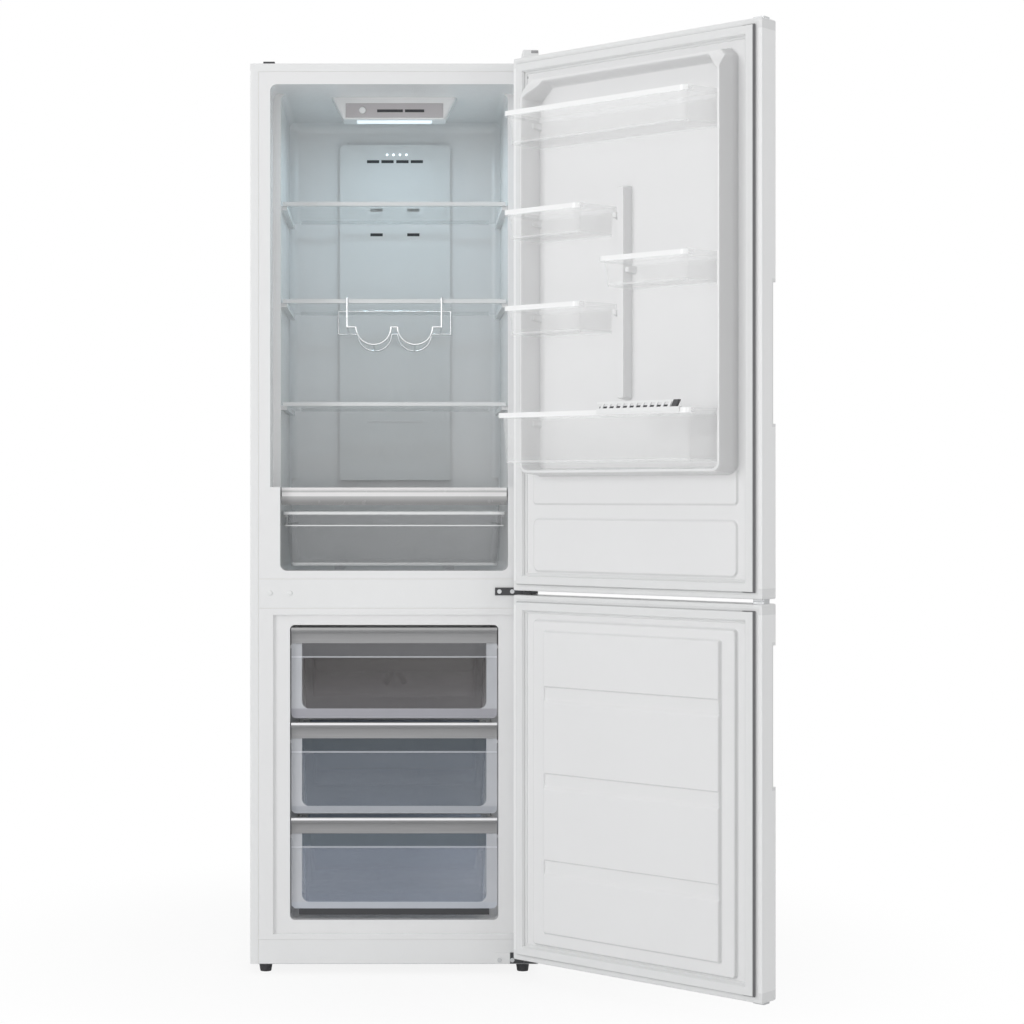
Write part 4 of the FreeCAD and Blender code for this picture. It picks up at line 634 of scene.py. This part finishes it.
# Bellows gasket: its section runs round a rectangle, given in millimetres as inset from the door's edge and
# height over the door
gasketSection = softened(np.array([
    (8.0, 0.0), (8.2, 1.0), (11.0, 1.2), (13.0, 1.6), (13.4, 3.0), (12.2, 4.6), (12.2, 6.4), (13.8, 7.8),
    (13.9, 10.4), (15.6, 11.6), (22.0, 11.4), (28.0, 11.6), (30.2, 10.8), (30.6, 8.8), (32.4, 7.4),
    (32.0, 6.2), (30.8, 5.0), (31.6, 3.4), (34.0, 3.0), (36.2, 1.8), (36.6, 0.0)])) * millimetre

# The outer fold, where the painted shade goes, as spans of inset and of height at its foot and top
outerFold = {"inset": (0.0140, 0.0165), "foot": (0.0015, 0.0022), "top": (0.0096, 0.0108)}


def gasket(piece):
    inset, height = gasketSection.T[:, :, None]
    across = np.array([[-1.0, -1.0, 1.0, 1.0]])
    upward = np.array([[0.0, 1.0, 1.0, 0.0]])
    low, top = piece["span"]
    x = across * (doorHalf - inset)
    z = np.where(upward > 0, top - inset, low + inset)
    y = np.broadcast_to(doorInside + height, x.shape)
    shown = surface(piece["name"], hungPoint(np.stack([x, y, z], -1)), loopRows=True, loopColumns=True)
    outerSide = 1 - ramp(inset, *outerFold["inset"])
    # the outer fold's share of the painted shade
    foldShade = ramp(height, *outerFold["foot"]) * outerSide * (1 - ramp(height, *outerFold["top"]))
    label(shown, "foldShade", np.broadcast_to(foldShade, x.shape))
    return shown


# Upper door liner: pads are (span in Z, corner, step), and the well is cut into the rim
linerSides = (-0.2455, 0.2455)
upperRelief = {
    "pads": (((0.969, 1.040), 0.008, 0.003), ((0.833, 0.942), 0.014, 0.004)), "padHeight": 0.004,
    "rim": (linerSides, (1.026, 1.829)), "rimCorner": 0.022, "rimSlant": 0.016, "rimStep": 0.007,
    "rimHeight": 0.054, "rimDrop": 0.022, "rimDropSpan": (1.783, 1.818),
    "well": ((-0.2335, 0.2335), (1.038, 1.817)), "wellCorner": 0.014, "wellSlant": 0.034,
    "wellStep": 0.004, "wellStepGain": 0.007, "wellGainSpan": (1.75, 1.80),
    "spine": ((0.0005, 0.0215), (1.174, 1.592), 0.006, 0.003), "spineHeight": 0.024,
    "ledgeLow": 0.0243, "ledgeTop": 0.0103, "ledgeCorner": 0.001, "ledgeStep": 0.0016, "ledgeHeight": 0.022,
}


# The larger of two low pads and a rim that drops towards its top, less the well, with a spine and the bins'
# ledges standing in the well
def upperLinerHeight(x, z):
    relief = upperRelief
    pads = [raised(x, z, linerSides, *pad) for pad in relief["pads"]]
    rimSlant = depthUnderSlant(x, z, *relief["rim"], relief["rimSlant"])
    rim = np.minimum(depthInside(x, z, *relief["rim"], relief["rimCorner"]), rimSlant)
    rimTop = relief["rimHeight"] - relief["rimDrop"] * ramp(z, *relief["rimDropSpan"])
    wellSlant = depthUnderSlant(x, z, *relief["well"], relief["wellSlant"])
    well = np.minimum(depthInside(x, z, *relief["well"], relief["wellCorner"]), wellSlant)
    wellStep = relief["wellStep"] + relief["wellStepGain"] * ramp(z, *relief["wellGainSpan"])
    height = np.maximum(np.maximum(*pads) * relief["padHeight"], rimTop * ramp(rim, 0.0, relief["rimStep"]))
    height = height * (1 - ramp(well / wellStep, 0.0, 1.0))
    height = np.maximum(height, raised(x, z, *relief["spine"]) * relief["spineHeight"])
    for place in bins.values():
        ledgeSpan = (place["rim"] - relief["ledgeLow"], place["rim"] - relief["ledgeTop"])
        for side in place["ledges"]:
            ledge = raised(x, z, side, ledgeSpan, relief["ledgeCorner"], relief["ledgeStep"])
            height = np.maximum(height, ledge * relief["ledgeHeight"])
    return height


# Lower door liner: panels are (span in X, span in Z, corner, step), each groove is given by its lower edge
lowerRelief = {
    "panels": ((linerSides, (0.0795, 0.738), 0.010, 0.005),
               ((-0.2135, 0.2135), (0.106, 0.717), 0.005, 0.005)), "panelHeight": 0.007,
    "grooves": (0.222, 0.396, 0.570), "grooveSides": (-0.2095, 0.2095), "grooveWidth": 0.035,
    "grooveCorner": 0.002, "grooveStep": 0.0025, "grooveSlope": 0.009, "grooveDepth": 0.004,
}


# A low panel with a second panel on it, less three grooves whose floors slope down from their lower edges
def lowerLinerHeight(x, z):
    relief = lowerRelief
    height = sum(raised(x, z, *panel) * relief["panelHeight"] for panel in relief["panels"])
    for low in relief["grooves"]:
        grooveSpan = (low, low + relief["grooveWidth"])
        groove = raised(x, z, relief["grooveSides"], grooveSpan, relief["grooveCorner"], relief["grooveStep"])
        slope = ramp(z, low, low + relief["grooveSlope"])
        height = height - np.minimum(groove, slope) * relief["grooveDepth"]
    return height


# A height over the door's inside at each point of a grid, made a sheet with thickness. Its flanks are where
# it climbs steeply, and they carry painted shade
linerSheet = {"sideGap": 0.0133, "endGap": 0.0203, "thickness": 0.0012, "steep": (0.2, 1.2),
              "freeZone": (0.15, 0.19), "downShare": 0.45}


def doorLiner(piece):
    low, top = piece["span"]
    side = doorHalf - linerSheet["sideGap"]
    columns = gridLines(-side, side, piece["fineX"])
    rows = gridLines(low + linerSheet["endGap"], top - linerSheet["endGap"], piece["fineZ"])
    x, z = np.meshgrid(columns, rows)
    height = piece["height"](x, z)
    points = hungPoint(np.stack([x, doorInside + height, z], -1))
    shown = surface(piece["name"], points[:, ::-1], sharpDegrees=60)
    climbUp, climbAcross = np.gradient(height, rows, columns)
    # painted shade on flanks that face the free edge and, less, on those that face down
    facingFree = ramp(climbAcross, *linerSheet["steep"]) * ramp(-x, *linerSheet["freeZone"])
    facingDown = ramp(climbUp, *linerSheet["steep"]) * linerSheet["downShare"]
    label(shown, "flankShade", np.maximum(facingFree, facingDown)[:, ::-1])
    thick = shown.modifiers.new("sheet", "SOLIDIFY")
    thick.thickness = linerSheet["thickness"]
    thick.offset = -1.0
    return shown


# A dome or a round plug: a section of radius and height, in millimetres, turned about its axis
def plug(piece, sides=24):
    radius, height = softened(np.array(piece["section"], float)).T * millimetre
    turn = np.linspace(0, 2 * math.pi, sides, endpoint=False)
    first, second, out = (np.array(way, float) for way in piece["ways"])
    ring = np.cos(turn)[:, None] * first + np.sin(turn)[:, None] * second
    points = np.array(piece["at"]) + radius[:, None, None] * ring + height[:, None, None] * out
    if piece.get("hung"):
        points = hungPoint(points)
    return surface(piece["name"], points, loopColumns=True, ends=True)


# A small block with soft edges: four corners at its foot and the same at its top, about its middle
def block(piece):
    corner = np.array([(-1, -1), (1, -1), (1, 1), (-1, 1)], float)
    foot = np.concatenate([corner, -np.ones((4, 1))], 1)
    points = np.stack([foot, foot * (1, 1, -1)]) * np.array(piece["half"]) + np.array(piece["at"])
    if piece.get("hung"):
        points = hungPoint(points)
    shown = surface(piece["name"], points, loopColumns=True, ends=True)
    bevel = shown.modifiers.new("edge", "BEVEL")
    bevel.width = piece["edge"]
    bevel.segments = 3
    return shown


# Two ways across a plug and the way it faces, and plugs' sections
frontWays = ((1, 0, 0), (0, 0, 1), (0, -1, 0))
backWays = ((-1, 0, 0), (0, 0, 1), (0, 1, 0))
capSection = ((5.2, 0.0), (5.2, 0.9), (4.2, 1.7), (2.0, 2.1), (0.6, 2.2))
lampSection = ((2.6, -0.5), (2.6, 0.6), (1.6, 1.2), (0.4, 1.4))
spotSection = ((3.2, 0.0), (3.0, 0.5), (1.8, 0.6), (0.4, 0.62))
screwSection = ((4.2, 0.0), (4.2, 0.8), (3.2, 1.6), (0.5, 1.9))

# One dictionary for each piece
doorFine = [(-0.250, -0.196), (0.196, 0.250)]
doorLinerPlastic = linerPlastic("door_liner_plastic", linerWhite)
pieces = [
    {"name": "upperGasket", "make": gasket, "span": upperSpan, "body": "upper_door",
     "slot": "gasket_rubber", "replaces": "upper_door_gasket"},
    {"name": "lowerGasket", "make": gasket, "span": lowerSpan, "body": "lower_door",
     "slot": "gasket_rubber", "replaces": "lower_door_gasket"},
    {"name": "upperLiner", "make": doorLiner, "span": upperSpan, "height": upperLinerHeight,
     "body": "upper_door", "slot": "liner_plastic", "finish": doorLinerPlastic,
     "replaces": "upper_door_liner", "fineX": doorFine + [(-0.014, 0.056)],
     "fineZ": [(0.828, 0.852), (0.925, 0.980), (1.020, 1.085), (1.120, 1.146), (1.170, 1.184), (1.332, 1.356),
               (1.414, 1.440), (1.522, 1.548), (1.582, 1.596), (1.718, 1.744), (1.765, 1.834)]},
    {"name": "lowerLiner", "make": doorLiner, "span": lowerSpan, "height": lowerLinerHeight,
     "body": "lower_door", "slot": "liner_plastic", "finish": doorLinerPlastic,
     "replaces": "lower_door_liner", "fineX": doorFine,
     "fineZ": [(0.076, 0.118), (0.217, 0.262), (0.391, 0.436), (0.565, 0.610), (0.705, 0.742)]},
]
for number, x in enumerate((-0.256, -0.215)):
    pieces.append({"name": f"mullionCap{number + 1}", "make": plug, "at": (x, caseFront, 0.786),
                   "section": capSection, "ways": frontWays, "body": "cabinet", "slot": "white_plastic"})
for number, x in enumerate(np.linspace(-0.018, 0.026, 4)):
    pieces.append({"name": f"lampDot{number + 1}", "make": plug, "at": (x, 0.193, 1.765),
                   "section": lampSection, "ways": frontWays, "body": "cabinet", "slot": "lens_plastic"})
for number, (x, half) in enumerate(((-0.0095, 0.0275), (0.043, 0.0205))):
    pieces.append({"name": f"panelWindow{number + 1}", "make": block, "at": (x, -0.1355, 1.808),
                   "half": (half, 0.0005, 0.003), "edge": 0.0003, "body": "cabinet", "slot": "dark_plastic"})
pieces += [
    {"name": "casePlug", "make": block, "at": (-0.259, -0.262, 1.8825), "half": (0.012, 0.014, 0.003),
     "edge": 0.0012, "body": "cabinet", "slot": "foot_plastic"},
    {"name": "coverTip", "make": block, "at": (0.2865, -0.3458, 1.8915), "half": (0.0072, 0.0008, 0.0028),
     "edge": 0.0006, "body": "cabinet", "slot": "satin_silver"},
    {"name": "slotBlade", "make": block, "at": (0.0, 0.1933, 1.157), "half": (0.0628, 0.0014, 0.0019),
     "edge": 0.0004, "body": "cabinet", "slot": "liner_plastic"},
    {"name": "combShade", "make": block, "hung": True, "at": (-0.1035, -0.1632, 1.1542),
     "half": (0.0815, 0.0005, 0.0019), "edge": 0.0002, "body": "bottle_comb", "slot": "dark_plastic"},
    # a dark strip under the lowest drawer's front: painted shadow in the gap under the drawer
    {"name": "drawerShadowStrip", "make": block, "at": (0.0, -0.2662, 0.1255), "half": (0.197, 0.0012, 0.007),
     "edge": 0.0004, "body": "lower_drawer", "slot": "dark_plastic"},
    {"name": "doorSpot", "make": plug, "hung": True, "at": (0.262, doorInside, 1.835), "section": spotSection,
     "ways": backWays, "body": "upper_door", "slot": "satin_silver"},
]
# Dark strips in the duct behind its top and third rows of slots: painted shade in the duct's hollow
for number, (z, half) in enumerate(((1.7495, 0.072), (1.5825, 0.060))):
    pieces.append({"name": f"ductShade{number + 1}", "make": block, "at": (0.0, 0.1975, z),
                   "half": (half, 0.0008, 0.007), "edge": 0.0003, "body": "cabinet", "slot": "dark_plastic"})
# Stops that stand out of the doors' end caps by the free edge
stopReach = 0.002
for door, span in (("upper", upperSpan), ("lower", lowerSpan)):
    for end, level in (("Low", span[0] - stopReach), ("Top", span[1] + stopReach)):
        pieces.append({"name": f"{door}CapStop{end}", "make": block, "hung": True,
                       "at": (-0.280, -0.322, level), "half": (0.012, 0.010, 0.003), "edge": 0.001,
                       "body": f"{door}_door", "slot": "zinc_steel"})
# Screws of the rear cover's corners and of the back panel's two long edges
coverEdge = 0.285
panelEdge = 0.289
rearScrews = [(side * coverEdge, z) for side in (-1, 1) for z in (0.038, 0.220)]
rearScrews += [(side * panelEdge, z) for side in (-1, 1) for z in (0.30, 0.80, 1.30, 1.80)]
for number, (x, z) in enumerate(rearScrews):
    pieces.append({"name": f"rearScrew{number + 1}", "make": plug, "at": (x, caseBack, z),
                   "section": screwSection, "ways": backWays, "body": "cabinet", "slot": "hinge_steel"})
for piece in pieces:
    shown = piece["make"](piece)
    wear(shown, piece.get("finish") or finishes[piece["slot"]])
    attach(shown, piece["body"])
    if "replaces" in piece:
        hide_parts(piece["replaces"])
    print("made", piece["name"], len(shown.data.polygons), "faces")

# Camera where the photograph was taken: level, facing the back
view = {"place": (0.0175, -4.820, 0.989), "lens": 77.21, "sensor": 36.0, "shift": (0.1068, -0.0168)}
cameraData = bpy.data.cameras.new("camera")
cameraData.lens = view["lens"]
cameraData.sensor_width = view["sensor"]
cameraData.shift_x, cameraData.shift_y = view["shift"]
cameraObject = bpy.data.objects.new("camera", cameraData)
cameraObject.location = view["place"]
cameraObject.rotation_euler = (math.radians(90), 0, 0)
scene.collection.objects.link(cameraObject)
scene.camera = cameraObject

# Plain studio light, and the fridge's own lamp
lamps = {
    "keyLamp": {"place": (-0.9, -4.9, 2.3), "target": (0.1, -0.2, 1.1), "size": (1.6, 1.6), "power": 3},
    "frontLamp": {"place": (0.3, -5.4, 1.0), "target": (0.0, -0.2, 0.9), "size": (1.2, 1.2), "power": 12},
    "leftLamp": {"place": (-4.0, -3.6, 1.9), "target": (0.3, -0.4, 1.0), "size": (2.0, 2.4), "power": 84},
    "rightLamp": {"place": (3.2, -3.0, 1.5), "target": (0.5, -0.6, 1.0), "size": (1.6, 2.2), "power": 13},
    "topLamp": {"place": (0.2, -1.4, 3.6), "target": (0.1, -0.2, 1.0), "size": (2.4, 1.8), "power": 9},
    "fridgeLamp": {"place": (0.0, -0.10, 1.786), "target": (0.0, -0.06, 1.2), "size": (0.16, 0.03),
                   "power": 0.5, "colour": (0.64, 0.88, 1.0)},
}


# An area lamp turned so that its light falls along the line from its place to its target
def areaLamp(name, lamp):
    data = bpy.data.lights.new(name, "AREA")
    data.shape = "RECTANGLE"
    data.size, data.size_y = lamp["size"]
    data.energy = lamp["power"]
    data.color = lamp.get("colour", (1.0, 1.0, 1.0))
    shown = bpy.data.objects.new(name, data)
    shown.location = lamp["place"]
    aim = np.array(lamp["target"]) - np.array(lamp["place"])
    tilt = math.acos(-aim[2] / np.linalg.norm(aim))
    shown.rotation_euler = (tilt, 0, math.atan2(aim[1], aim[0]) - math.pi / 2)
    scene.collection.objects.link(shown)


for lampName, lamp in lamps.items():
    areaLamp(lampName, lamp)

# World: a soft pale light, and plain white where the camera, gloss or glass sees it
world = bpy.data.worlds.new("studio")
scene.world = world
studio = Tree(world)
ambient = studio.nodes["Background"]
studio.feed(ambient.inputs["Color"], rgb(0.99, 0.993, 1.0))
studio.feed(ambient.inputs["Strength"], 0.5)
bright = studio.add("ShaderNodeBackground", {}, {"Color": rgb(1.0, 1.0, 1.0), "Strength": 1.0})
camera, gloss, glass = (studio.add("ShaderNodeLightPath", {}, {}, f"Is {ray} Ray")
                        for ray in ("Camera", "Glossy", "Transmission"))
soft = Socket(studio, ambient.outputs[0])
blend = studio.add("ShaderNodeMixShader", {}, {0: camera | gloss | glass, 1: soft, 2: bright})
studio.feed(studio.nodes["World Output"].inputs["Surface"], blend)

# Floor: pale, and for the camera mostly white, a little less so near the object, where its shadow shows
floorLook = {"reach": 30, "middle": (0.1, 0.0, 0.0), "fade": (0.3, 1.3), "nearWhite": 0.87}
reach = floorLook["reach"]
nearWhite = floorLook["nearWhite"]
corners = [(-reach, -reach, 0), (reach, -reach, 0), (reach, reach, 0), (-reach, reach, 0)]
floorMesh = bpy.data.meshes.new("floor")
floorMesh.from_pydata(corners, [], [(0, 1, 2, 3)])
floor = bpy.data.objects.new("floor", floorMesh)
scene.collection.objects.link(floor)
floorPaint = Paint("floor")
floorPaint.set(Base_Color=rgb(0.9, 0.9, 0.9), Roughness=0.6)
seenFirst = floorPaint.add("ShaderNodeLightPath", {}, {}, "Is Camera Ray")
glow = floorPaint.add("ShaderNodeEmission", {}, {"Color": rgb(1, 1, 1), "Strength": 1.0})
away = floorPaint.add("ShaderNodeVectorMath", {"operation": "DISTANCE"},
                      {0: floorPaint.place(), 1: floorLook["middle"]}, "Value")
share = seenFirst * (nearWhite + (1.0 - nearWhite) * floorPaint.between(away, *floorLook["fade"]))
lit = Socket(floorPaint, floorPaint.shader.outputs[0])
mixed = floorPaint.add("ShaderNodeMixShader", {}, {0: share, 1: lit, 2: glow})
floorPaint.feed(floorPaint.nodes["Material Output"].inputs["Surface"], mixed)
wear(floor, floorPaint.material)
print("camera and light set")
